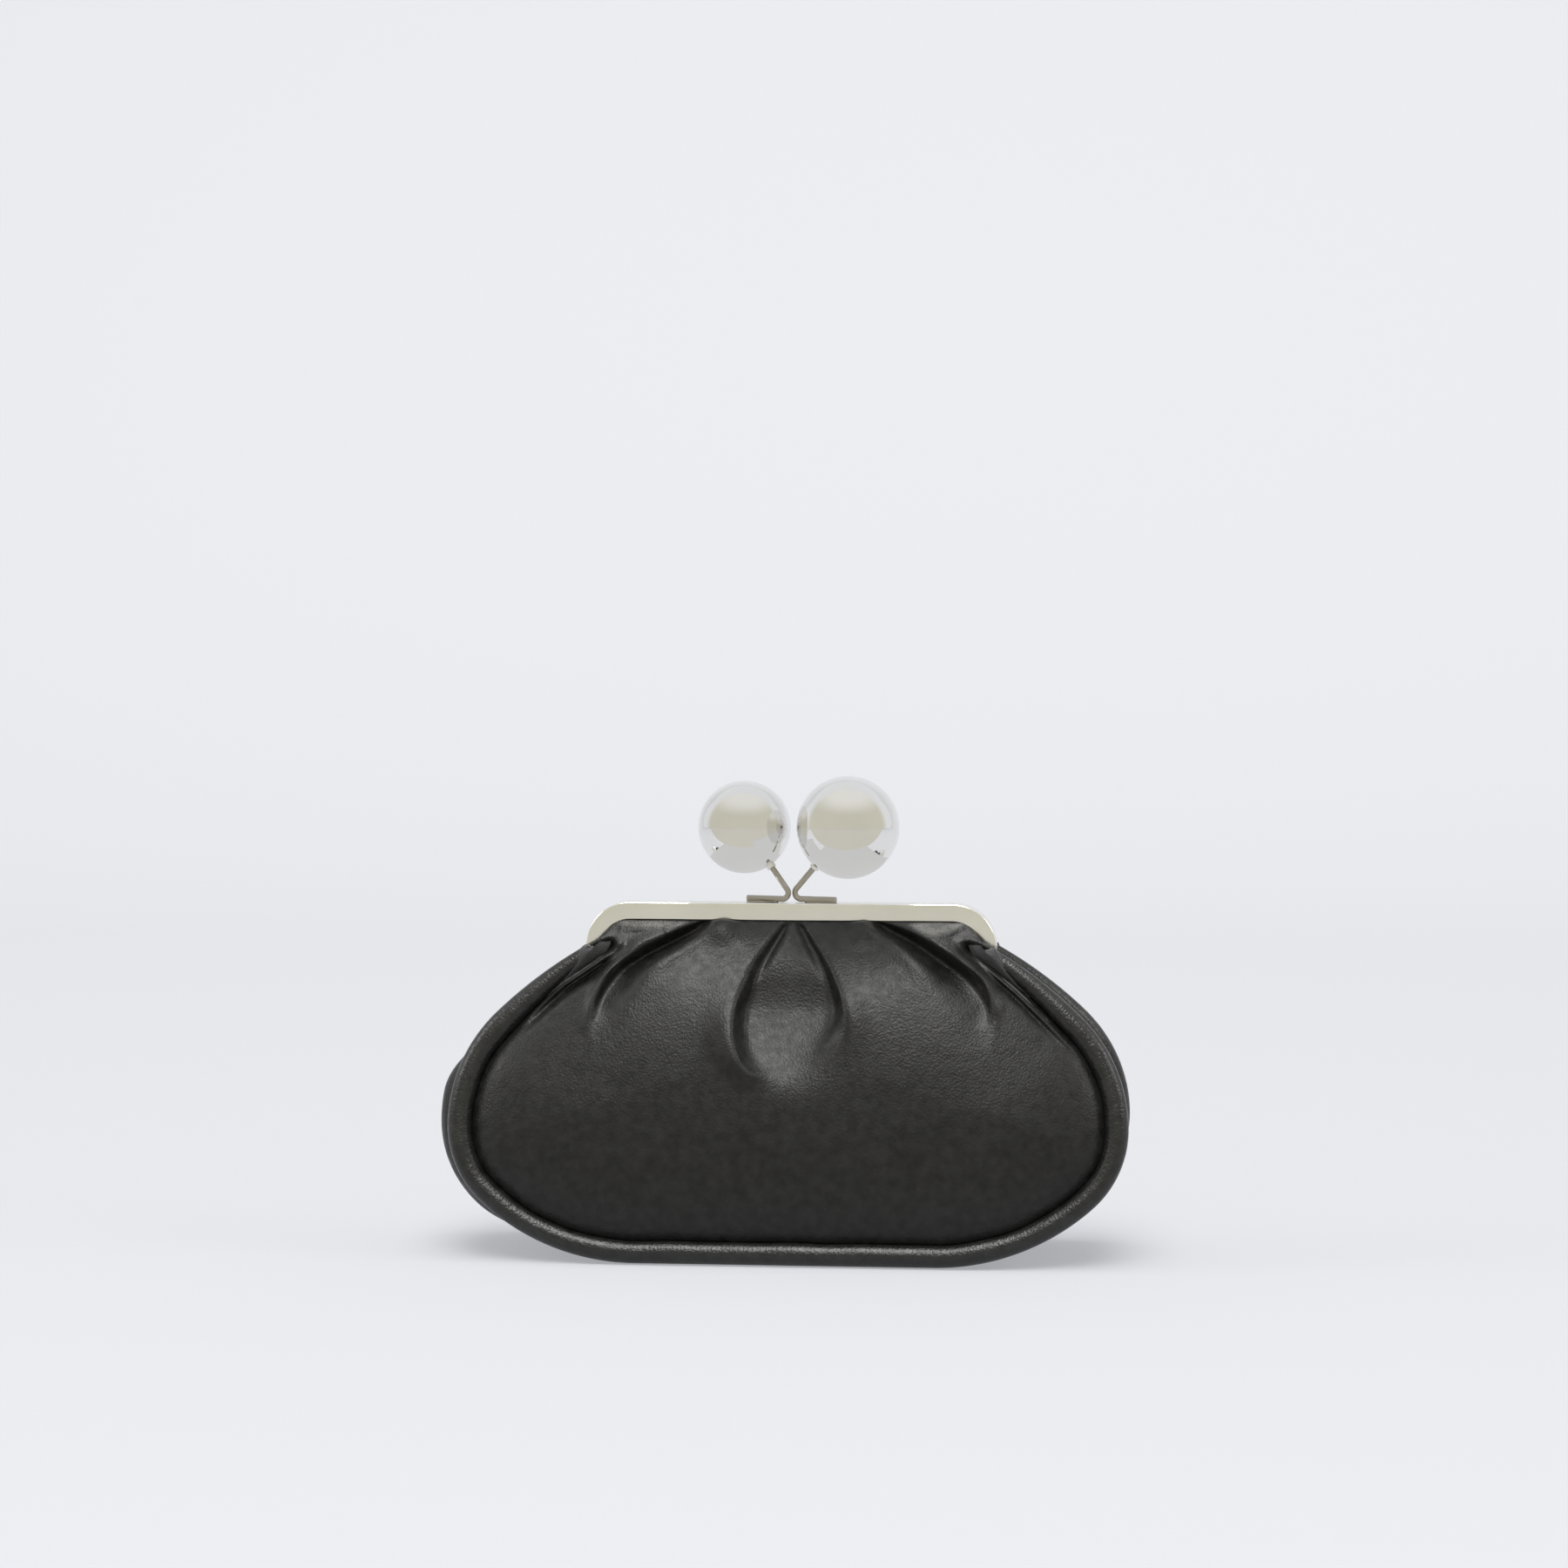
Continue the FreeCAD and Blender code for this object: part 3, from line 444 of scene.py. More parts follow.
# The roll's centre line and radius: thinner along the base and towards its tips, where it dips back into
# the frame.
def rollPath(facing, halfCount):
    at, u, v, outU, outV = seamLine(halfCount)
    total = at[-1]
    side = smoothStep(v, rollShape["sideFrom"], rollShape["sideTo"])
    sideRadius = np.where(u * facing < 0, rollShape["leftRadius"], rollShape["rightRadius"])
    radius = rollShape["baseRadius"] + (sideRadius - rollShape["baseRadius"]) * side
    toTip = total - np.abs(at)
    taper = smoothStep(toTip, 0.0, rollShape["tipTaper"])
    radius = rollShape["tipRadius"] + (radius - rollShape["tipRadius"]) * taper
    waver = np.sin(at * rollShape["waverRate"] + facing) * np.sin(at * rollShape["slowRate"] + 1.0)
    radius = radius + rollShape["waver"] * waver * taper
    shift = seam["rollRadius"] - radius
    tuck = rollShape["tipTuck"] * (1 - smoothStep(toTip, 0.0, rollShape["tuckLength"])) ** 2
    path = onSeamPlane(u + outU * shift, v + outV * shift, 0 * u - tuck, facing)
    return path, radius


# Piping roll: a tube along the seam that continues over the frame's leg to its inner corner, on a cord
# core.
def buildRoll(name, facing, replaced):
    path, radius = rollPath(facing, rollShape["columns"])
    normal = np.array([0, -facing * leanCos, leanSin])
    girth, share = seam["rollRadius"], rollShape["coreShare"]
    inside = slice(rollShape["coreTrim"], -rollShape["coreTrim"])
    roll = buildTube(name, path, radius, normal, rollShape["sides"], girth, pipingLeather)
    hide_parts(replaced)
    blendLeather(roll)
    core = buildTube(name + "Core", path[inside], radius[inside] * share, normal, rollShape["coreSides"],
                     share * girth, cottonCord)
    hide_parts(replaced + "_core")
    blendLeather(core)


# Bakes the piece's placement into its mesh; nothing ties it to the pouch or to a frame half.
def blendLeather(piece):
    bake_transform(piece)


buildRoll("frontRoll", 1, "front_piping")
buildRoll("backRoll", -1, "back_piping")
print("piping rolls made")


archSize = {
    "halfWidth": 80.7, "top": 138.0, "cornerRadius": 17.0, "legEnd": 116.3, "face": 6.8,
    "gap": 0.2, "depth": 5.0, "wall": 0.9, "edge": 0.42, "lipShare": 0.48, "innerEdge": 0.3,
    "hingeHeight": 112.0, "earRadius": 4.0, "earThick": 1.2, "earTop": 122.3, "earInset": 0.05,
    "earSweep": (172, 420), "earSteps": 28, "earLow": 0.6, "earHigh": 0.5,
    "frontEarOut": 80.65, "backEarOut": 79.3,
}


# The frame's arch line, inset from its outer edge, from the left leg over the bar to the right leg, with
# inward directions.
def archLine(inset, legFrom, legCount=4, cornerCount=14, barCount=30):
    halfWidth, top, radius = archSize["halfWidth"], archSize["top"], archSize["cornerRadius"] - inset
    middleX, middleZ = halfWidth - archSize["cornerRadius"], top - archSize["cornerRadius"]
    leg = np.stack([np.full(legCount, inset - halfWidth), np.linspace(legFrom, middleZ, legCount)], axis=-1)
    swing = np.linspace(math.pi, math.pi / 2, cornerCount)
    corner = np.stack([-middleX + radius * np.cos(swing), middleZ + radius * np.sin(swing)], axis=-1)
    bar = np.stack([np.linspace(-middleX, middleX, barCount), np.full(barCount, top - inset)], axis=-1)
    legIn = np.tile([1.0, 0.0], (legCount, 1))
    cornerIn = np.stack([-np.cos(swing), -np.sin(swing)], axis=-1)
    barIn = np.tile([0.0, -1.0], (barCount, 1))
    flip = np.array([-1.0, 1.0])
    both = lambda left, middle: np.vstack([left, middle, (left * flip)[::-1]])
    line = both(np.vstack([leg[:-1], corner[:-1]]), bar)
    inward = both(np.vstack([legIn[:-1], cornerIn[:-1]]), barIn)
    return line, inward


# A frame half: a channel section with rounded edges carried along the arch, with a hinge ear at each leg.
def buildFrameHalf(name, facing, earOut, replaced, half):
    face, depth, wall, edge = (archSize[key] for key in ("face", "depth", "wall", "edge"))
    lip, bend = wall * archSize["lipShare"], archSize["innerEdge"]
    section = roundedOutline([
        (0, 0, edge), (0, depth, edge), (face, depth, lip), (face, depth - wall, lip),
        (wall, depth - wall, bend), (wall, wall, bend), (face, wall, lip), (face, 0, lip),
    ])
    line, inward = archLine(0.0, archSize["legEnd"])
    flat = line[:, None] + section[None, :, :1] * inward[:, None]
    y = np.broadcast_to(-facing * (archSize["gap"] + section[:, 1]), flat.shape[:2])
    points = np.stack([flat[..., 0], y, flat[..., 1]], axis=-1)
    rows, columns = points.shape[:2]
    quads = gridQuads(rows, columns, closeColumns=True).tolist()
    caps = [list(range(columns)), list(range((rows - 1) * columns, rows * columns))]
    parts = [(points, quads + caps)]
    # The ears keep a hair's breadth inside the channel's walls, so that no two faces share a plane.
    outer = -facing * (archSize["gap"] + depth - archSize["earInset"])
    inner = -facing * (archSize["gap"] + archSize["earInset"])
    hinge, earRadius, root = archSize["hingeHeight"], archSize["earRadius"], archSize["legEnd"]
    swing = np.linspace(*np.radians(archSize["earSweep"]), archSize["earSteps"])
    disc = np.stack([facing * earRadius * np.cos(swing), hinge + earRadius * np.sin(swing)], axis=-1)
    outline = np.vstack([[[outer, archSize["earTop"]], [outer, root - archSize["earLow"]]], disc,
                         [[inner, root + archSize["earHigh"]], [inner, archSize["earTop"]]]])
    count = len(outline)
    ends = [list(range(count)), list(range(count, 2 * count))]
    earFaces = gridQuads(2, count, closeColumns=True).tolist() + ends
    for side in (-1, 1):
        slices = np.array([earOut - archSize["earThick"], earOut]) * side
        ear = [np.broadcast_to(part, (2, count)) for part in (slices[:, None], outline[:, 0], outline[:, 1])]
        parts.append((np.stack(ear, axis=-1), earFaces))
    allPoints, allFaces = joined(parts)
    piece = makePiece(name, allPoints, allFaces, nickelPlate, sharpAngle=38)
    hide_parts(replaced)
    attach(piece, half)


buildFrameHalf("frontFrame", 1, archSize["frontEarOut"], "front_frame", "front_half")
buildFrameHalf("backFrame", -1, archSize["backEarOut"], "back_frame", "back_half")

rivetSize = {
    "shank": 1.2, "head": 2.5, "rim": 0.25, "domePower": 0.8, "domeSteps": 9, "sides": 40,
    "innerEnd": 76.9, "innerSeat": 77.9, "outerSeat": 80.9, "outerEnd": 81.9,
}


# Hinge rivet: a shank between two domed heads, turned about the hinge line.
def buildRivet(name, side, replaced):
    head, shank, rim = (rivetSize[key] for key in ("head", "shank", "rim"))
    seatIn, seatOut = rivetSize["innerSeat"], rivetSize["outerSeat"]
    bulge = np.linspace(0, math.pi / 2, rivetSize["domeSteps"])
    domeRadius = head * np.sin(bulge) ** rivetSize["domePower"]
    rise, drop = rivetSize["outerEnd"] - seatOut - rim, seatIn - rivetSize["innerEnd"] - rim
    domeOut = np.stack([domeRadius, seatOut + rim + rise * np.cos(bulge)], axis=-1)
    domeIn = np.stack([domeRadius, seatIn - rim - drop * np.cos(bulge)], axis=-1)
    waist = [[head, seatOut], [shank, seatOut], [shank, seatIn], [head, seatIn]]
    profile = np.vstack([domeOut, waist, domeIn[::-1]])
    hinge = np.array([0, 0, archSize["hingeHeight"]])
    points, quads = turned(profile, hinge, [side, 0, 0], rivetSize["sides"])
    piece = makePiece(name, points, quads, nickelPlate, sharpAngle=45)
    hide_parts(replaced)
    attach(piece, "pouch")


buildRivet("leftRivet", -1, "left_hinge_rivet")
buildRivet("rightRivet", 1, "right_hinge_rivet")
print("frame halves and rivets made")


lockSize = {
    "wire": 2.3, "wireHeight": 139.4, "bendRadius": 2.4, "footEnd": 18.3, "swing": 15.0, "offset": 1.25,
    "stemGap": 0.2, "wireStop": 7.0, "endBulge": 0.15,
    "brazeFrom": 6.3, "brazeShort": 0.6, "brazeHalf": 1.0, "brazeRise": 0.5,
    "ferrule": 3.9, "ferruleOut": 1.5, "ferruleIn": 0.15, "shank": 3.3, "flange": 4.6, "wall": 1.0,
    "bore": 0.02, "rimCurve": ((-0.3, 0.0), (-0.08, 0.1), (0.0, 0.32)),
    "flangeThick": 1.2, "flangeEase": 1.5, "bossLength": 5.5,
}
lockMesh = {
    "pathSteps": 24, "bendSteps": 26, "wireSides": 24, "beadSteps": 20, "beadSides": 20,
    "socketSides": 36, "ballSides": 112, "outerArc": 72, "innerArc": 40,
}


# One ball of the lock with its wire stem and socket. The wire lies on the frame, turns back at a bend and
# rises along the tangent to the ball's middle; the ball and the socket are turned about that rise.
def buildLock(prefix, node, turn, half):
    low, high = (np.array(corner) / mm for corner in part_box(node))
    ballMiddle, ballRadius = (low + high) / 2, (high[2] - low[2]) / 2
    wireRadius, bend = lockSize["wire"] / 2, lockSize["bendRadius"]
    swing, steps = math.radians(lockSize["swing"]), lockMesh["pathSteps"]
    originX = lockSize["stemGap"] / 2 + wireRadius * (1 - math.cos(swing))
    along = turn * np.array([math.cos(swing), -math.sin(swing), 0])
    origin = np.array([turn * originX, turn * lockSize["offset"], lockSize["wireHeight"]])
    bendAlong = bend + wireRadius
    ballAlong, ballUp = (ballMiddle - origin) @ along, ballMiddle[2] - origin[2]
    span = math.hypot(ballAlong - bendAlong, ballUp - bend)
    rise = math.atan2(ballUp - bend, ballAlong - bendAlong) - math.asin(bend / span)
    foot = np.stack([np.linspace(lockSize["footEnd"], bendAlong, steps), np.zeros(steps)], axis=-1)
    sweep = np.linspace(-math.pi / 2, -math.pi / 2 - (math.pi - rise), lockMesh["bendSteps"])[1:]
    curve = np.stack([bendAlong + bend * np.cos(sweep), bend + bend * np.sin(sweep)], axis=-1)
    riseStart = curve[-1]
    riseWay = np.array([math.cos(rise), math.sin(rise)])
    reach = math.hypot(ballAlong - riseStart[0], ballUp - riseStart[1]) - ballRadius + lockSize["wireStop"]
    riser = riseStart + riseWay * np.linspace(0, reach, steps)[1:, None]
    flat = np.vstack([foot, curve, riser])
    place = lambda pair: origin + pair[..., :1] * along + pair[..., 1:] * np.array([0, 0, 1.0])
    path, radii = roundEnds(place(flat), np.full(len(flat), wireRadius), bulge=lockSize["endBulge"])
    side = np.cross(along, [0, 0, 1.0])
    wireQuads = gridQuads(len(path), lockMesh["wireSides"], closeColumns=True).tolist()
    wire = (tubeGrid(path, radii, side, lockMesh["wireSides"]), wireQuads)
    beadEnd, beadSteps = lockSize["footEnd"] - lockSize["brazeShort"], lockMesh["beadSteps"]
    beadAlong = np.linspace(lockSize["brazeFrom"], beadEnd, beadSteps)
    beadLine = place(np.stack([beadAlong, np.full(beadSteps, -wireRadius)], axis=-1))
    beadPath, beadRadii = roundEnds(beadLine, np.full(beadSteps, lockSize["brazeHalf"]))
    bead = tubeGrid(beadPath, beadRadii, side, lockMesh["beadSides"])
    flatter = lockSize["brazeRise"] / lockSize["brazeHalf"]
    bead[..., 2] = beadLine[0, 2] + (bead[..., 2] - beadLine[0, 2]) * flatter
    beadQuads = gridQuads(len(beadPath), lockMesh["beadSides"], closeColumns=True).tolist()
    points, faces = joined([wire, (bead, beadQuads)])
    stem = makePiece(prefix + "Stem", points, faces, stemNickel, sharpAngle=50)
    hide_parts(node + "_stem")
    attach(stem, half)
    axis = along * riseWay[0] + np.array([0, 0, riseWay[1]])
    ferrule, shank, flange = lockSize["ferrule"] / 2, lockSize["shank"] / 2, lockSize["flange"] / 2
    inside = ballRadius - lockSize["wall"]
    rim, seat = -ballRadius - lockSize["ferruleOut"], -ballRadius + lockSize["ferruleIn"]
    thick, ease, boss = (lockSize[key] - inside for key in ("flangeThick", "flangeEase", "bossLength"))
    collar = [(wireRadius, rim)] + [(ferrule + out, rim + up) for out, up in lockSize["rimCurve"]]
    collar += [(ferrule, seat), (shank, seat), (shank, -inside), (flange, -inside), (flange, thick),
               (shank, ease), (shank, boss), (wireRadius, boss)]
    points, quads = turned(collar + collar[:1], ballMiddle, axis, lockMesh["socketSides"])
    socket = makePiece(prefix + "Socket", points, quads, nickelPlate, sharpAngle=40)
    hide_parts(node + "_socket")
    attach(socket, half)
    mouth, innerMouth = (math.asin((shank + lockSize["bore"]) / size) for size in (ballRadius, inside))
    arc = np.linspace(mouth, math.pi, lockMesh["outerArc"])
    outside = np.stack([ballRadius * np.sin(arc), -ballRadius * np.cos(arc)], axis=-1)
    innerArc = np.linspace(math.pi, innerMouth, lockMesh["innerArc"])
    within = np.stack([inside * np.sin(innerArc), -inside * np.cos(innerArc)], axis=-1)
    shell = np.vstack([outside, within, outside[:1]])
    points, quads = turned(shell, ballMiddle, axis, lockMesh["ballSides"])
    ball = makePiece(prefix, points, quads, mirrorNickel, sharpAngle=50)
    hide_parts(node)
    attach(ball, half)
    return ball


balls = [
    buildLock("largeBall", "large_ball", 1, "front_half"),
    buildLock("smallBall", "small_ball", -1, "back_half"),
]
print("lock made")


channelCord = {"inset": 3.4, "depth": 1.65, "radius": 0.5, "legFrom": 117.2, "sides": 10}


# Paper cord pressed into a channel: a thin tube along the arch.
def buildChannelCord(name, facing, replaced, half):
    line = archLine(channelCord["inset"], channelCord["legFrom"])[0]
    path = np.stack([line[:, 0], np.full(len(line), -facing * channelCord["depth"]), line[:, 1]], axis=-1)
    radius, across = channelCord["radius"], np.array([0.0, 1.0, 0.0])
    piece = buildTube(name, path, np.full(len(path), radius), across, channelCord["sides"], radius, paperCord)
    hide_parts(replaced)
    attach(piece, half)


buildChannelCord("frontChannelCord", 1, "front_channel_cord", "front_half")
buildChannelCord("backChannelCord", -1, "back_channel_cord", "back_half")
print("channel cords made")


leatherShape = {
    "columns": 341, "rows": 142, "fineSteps": 2001, "thickness": 1.2,
    "rowPlaces": (0.0, 0.5, 0.6, 0.88, 0.95, 1.0), "rowSteps": (0.55, 0.6, 2.4, 2.4, 0.8, 0.6),
    "seamTurn": 5.0, "seamTurnLength": 4.0, "crown": 13.8, "seamReach": 70.0, "seamSteps": 400,
    "topInset": 5.8, "topDepth": 3.5, "topStart": 34.0, "topRise": 21.0, "topReach": 73.0, "topPower": 2.0,
    "softness": 1.8, "softReach": 8.0, "softLeast": 0.05, "foldFrom": 0.8, "foldFade": 4.5, "seamFade": 4.0,
    "deepest": 2.4, "deepSoft": 0.7, "seamInset": 0.72, "seamSink": 0.35,
    "puffFrom": (0.5, 4.0), "puffTo": (6.0, 16.0),
    "flat": (0.30, 0.18), "cutShare": 0.7, "liningGap": 2.0, "liningThickness": 0.4,
}

# Fold lines seen from the front, as (x, height, lift, left, right) in mm. Lift is the rise there, below
# zero for a valley, and left and right are the widths to each side of the direction of travel.
folds = {
    "centreLeftLip": [
        (-15, 112, 0.2, 2, 6), (-18.5, 105, 0.6, 1.8, 7), (-20.2, 99.5, 1.6, 1.6, 8),
        (-20.6, 94, 2.6, 1.5, 8), (-20.2, 88, 3.3, 1.5, 8), (-18.5, 82, 3.6, 1.5, 7),
        (-16, 77.5, 3.2, 1.5, 5), (-12.5, 74.5, 2.2, 1.6, 4), (-8.5, 73.8, 1.0, 2, 3.4), (-5, 74, 0, 2, 3)],
    "centreRightLip": [
        (18.5, 112, 0.2, 6, 2), (21.3, 106.6, 1.0, 8, 1.6), (22.6, 101.5, 1.9, 10, 1.5),
        (22.3, 97.5, 2.2, 10, 1.6), (20.8, 92.5, 2.1, 10, 2), (18.5, 86, 1.4, 9, 3), (16, 80, 0.6, 8, 4),
        (14, 74, 0, 8, 4)],
    "apexLeft": [
        (-0.6, 131.5, -1.4, 1.4, 1.4), (-3, 127, -3, 1.8, 1.6), (-6.5, 121.5, -3.4, 2.0, 1.8),
        (-10, 116, -2.8, 2.2, 2), (-13, 110.5, -1.6, 2.2, 2), (-15.5, 105, -0.4, 2.2, 2),
        (-17, 100, 0, 2.2, 2)],
    "apexRight": [
        (2.2, 131.5, -1.4, 1.4, 1.4), (5, 127, -3, 1.6, 1.8), (8.5, 121.5, -3.4, 1.8, 2.0),
        (12.3, 116, -2.8, 2, 2.2), (15.5, 110.5, -1.6, 2, 2.2), (18, 105.5, -0.4, 2, 2.2),
        (19.8, 100.5, 0, 2, 2.2)],
    "leftValley": [
        (-33, 130, -3, 1.8, 3), (-38, 126.6, -6, 1.8, 3.2), (-44, 123.3, -7, 2.2, 3.6),
        (-51, 120, -7.6, 2.6, 3.8), (-57, 117, -7.4, 3.4, 3.8), (-63, 113, -6.4, 5, 3.6),
        (-67, 109, -5, 6.5, 3.2), (-70.4, 104, -3.4, 7, 2.8), (-72.4, 99, -2.6, 7, 2.4),
        (-73.4, 93, 0, 7, 2.4)],
    "leftLip": [
        (-27, 131.5, 0.5, 3, 2), (-31, 128.4, 1.2, 4, 1.5), (-36, 125.2, 1.5, 4, 1.4),
        (-42.5, 121.6, 1.6, 4, 1.4), (-49, 118, 1.4, 4, 1.5), (-54, 114.6, 0.8, 4, 2), (-58, 111, 0, 4, 2)],
    "leftTube": [
        (-37.3, 130.4, 1.4, 1.7, 1.7), (-46.7, 127, 3.8, 2.3, 2.3), (-56.2, 123, 5.0, 2.6, 2.6),
        (-62.8, 118.9, 5.2, 2.6, 2.6), (-68, 115, 4.6, 2.3, 2.5), (-71.8, 108.6, 3.2, 1.8, 2.4),
        (-74.6, 102.4, 2.2, 1.6, 2.6), (-75.8, 97.3, 1.4, 1.6, 2.6), (-76.2, 92, 0, 1.6, 2.6)],
    "leftGroove": [
        (-49.5, 126.4, -1.2, 1.6, 2), (-60.9, 120.8, -2.6, 1.6, 2.2), (-70.4, 114.9, -4, 1.5, 2.4),
        (-79.8, 108.6, -4.2, 1.5, 2.4), (-89.2, 102.4, -3.6, 1.5, 2.4), (-97, 95.4, -2.4, 1.5, 2.4),
        (-104, 88.5, 0, 1.5, 2.4)],
    "leftNarrow": [
        (-66.6, 122.4, 1.5, 1.8, 1.8), (-71.8, 117.6, 2.6, 1.8, 1.8), (-79.8, 111.6, 3.2, 1.8, 1.8),
        (-89, 105.9, 3.2, 1.8, 1.8), (-96, 99.9, 2.4, 1.8, 1.8), (-101.5, 93.9, 1.4, 1.8, 1.8),
        (-106, 87, 0, 1.8, 1.8)],
    "leftPatch": [
        (-66, 128, 0.6, 1.6, 1.6), (-58, 128.4, 1.8, 1.6, 1.6), (-49, 128.2, 0.6, 1.6, 1.6)],
    "rightValley": [
        (31, 131, -2.5, 3, 1.8), (37, 128, -5.5, 3.2, 1.8), (43, 125.2, -6.6, 3.6, 2.2),
        (48.5, 122.4, -7.2, 3.8, 2.6), (54.5, 119, -7.0, 3.8, 3.4), (62, 114, -6.4, 3.6, 5),
        (69, 108.8, -5, 3.2, 6.5), (74, 103.5, -3.4, 2.8, 7), (77, 98, -2.6, 2.4, 7), (78, 92, 0, 2.4, 7)],
    "rightLip": [
        (30, 130.6, 0.5, 2, 3), (33.5, 127.6, 1.1, 1.5, 4), (38, 124.8, 1.5, 1.4, 4),
        (44, 121.5, 1.6, 1.4, 4), (50, 117.6, 1.3, 1.5, 4), (57, 112, 0.7, 2, 4), (63, 107, 0, 2, 4)],
    "rightTube": [
        (37, 131, 1.2, 1.7, 1.7), (46.5, 128.5, 3.2, 2.3, 2.3), (54, 125.6, 4.4, 2.6, 2.6),
        (62, 121.4, 4.8, 2.6, 2.6), (70, 116.2, 4.6, 2.5, 2.3), (76.5, 110.8, 3.6, 2.4, 1.8),
        (79.3, 105.2, 2.6, 2.6, 1.6), (80.3, 100, 1.7, 2.6, 1.6), (80, 93, 0, 2.6, 1.6)],
    "rightGroove": [
        (64, 123.4, 0, 1.8, 1.6), (70, 119.2, -1.6, 1.8, 1.6), (77, 113.4, -2.4, 1.8, 1.5),
        (85, 106.2, -2.4, 1.8, 1.5), (93, 99, -2.0, 1.8, 1.5), (101, 91.4, -1.2, 1.8, 1.5),
        (108, 84.5, 0, 1.8, 1.5)],
    "rightNarrow": [
        (70, 124, 1.0, 1.5, 1.3), (75.2, 117.2, 2.2, 1.5, 1.3), (81.6, 110.8, 2.8, 1.5, 1.3),
        (88.6, 105, 2.8, 1.5, 1.3), (95.6, 98.6, 2.6, 1.5, 1.3), (102.4, 92.2, 2.2, 1.5, 1.3),
        (109.6, 85.4, 1.4, 1.5, 1.3), (117, 78.8, 0, 1.5, 1.3)],
    "rightPatch": [
        (57, 126.6, 0.5, 1.6, 1.6), (62.5, 127.6, 1.6, 1.6, 1.6), (67, 129.6, 0.5, 1.6, 1.6)],
}
# Edge of the box pleat's tongue, as (x, height, wall) in mm: from its point under the bar down the left
# fold, along its open foot and up the right fold. Wall is the half-width of the step down to the tongue,
# and tongueDepth, as (height, depth), says how far the tongue lies behind the leather around it.
tongueEdge = [
    (1, 131.5, 1.6), (-2, 126.5, 2.0), (-7, 120, 2.2), (-12, 113, 2.2), (-15.5, 105, 2.0),
    (-17.3, 99.5, 1.7), (-17.8, 93.5, 1.5), (-17.2, 88, 1.5), (-15.2, 82, 1.5), (-12.4, 78, 1.7),
    (-8.5, 74.6, 3), (-3, 71, 7), (5, 70, 10), (13, 75, 10), (19.4, 87, 7), (20.8, 95, 3),
    (20.2, 100.5, 1.8), (18.2, 106, 1.8), (15, 112, 2.0), (10, 119, 2.2), (4.5, 126, 2.0), (1, 131.5, 1.6),
]
tongueDepth = [
    (58, 0), (62, 0.3), (68, 1.4), (74, 2.9), (80, 4.7), (86, 6.7), (92, 8.3), (98, 8.8), (104, 7.7),
    (110, 5.8), (116, 4.0), (121, 2.8), (126, 1.6), (131.5, 0.5), (136, 0),
]
# Puffs that stand up over the bar's lower edge: middle x, half-width, rise and push to the front.
puffs = [
    {"x": -26.0, "half": 6.0, "rise": 2.2, "push": 2.0},
    {"x": 29.0, "half": 6.0, "rise": 1.8, "push": 1.8},
]
foldSpread = {"reach": 34.0, "steps": 9, "blur": 1.5, "sideSoft": 1.2, "leastWidth": 1.0}
tongueSpread = {"halfWidth": 60.0, "lowest": 45.0, "steps": 6, "depthSteps": 8, "blur": 4.0, "leastWall": 1.0}


# The sum of the folds at (x, z), each falling off as exp(-(distance/width)^2) with its own width on either
# side, and the tongue's depth times a step of 0.5 + 0.5 tanh(distance/wall) across its edge.
def foldLift(x, z, strength):
    spots = np.stack([x, z], axis=-1).reshape(-1, 2)
    total = np.zeros(len(spots))
    spread = tongueSpread
    curve = smoothLine(tongueEdge, spread["steps"] * len(tongueEdge))
    near = (np.abs(spots[:, 0]) < spread["halfWidth"]) & (spots[:, 1] > spread["lowest"])
    wall = valuesNear(spots[near], curve[:, :2], curve[:, 2], spread["blur"])[1]
    distance, side = nearLine(spots[near], curve[:, :2])
    heights = smoothLine(tongueDepth, spread["depthSteps"] * len(tongueDepth))
    depth = np.interp(spots[near][:, 1], heights[:, 0], heights[:, 1])
    total[near] -= depth * (0.5 + 0.5 * np.tanh(distance * side / np.maximum(wall, spread["leastWall"])))
    spread = foldSpread
    for knots in folds.values():
        curve = smoothLine(knots, spread["steps"] * len(knots))
        line, values = curve[:, :2], curve[:, 2:]
        lowest, highest = line.min(axis=0) - spread["reach"], line.max(axis=0) + spread["reach"]
        near = ((spots > lowest) & (spots < highest)).all(axis=1)
        distance, blended, toLeft = valuesNear(spots[near], line, values, spread["blur"])
        lift, left, right = blended.T
        width = right + (left - right) * (0.5 + 0.5 * np.tanh(toLeft / spread["sideSoft"]))
        total[near] += lift * np.exp(-(distance / np.maximum(width, spread["leastWidth"])) ** 2)
    return (total * strength).reshape(x.shape)


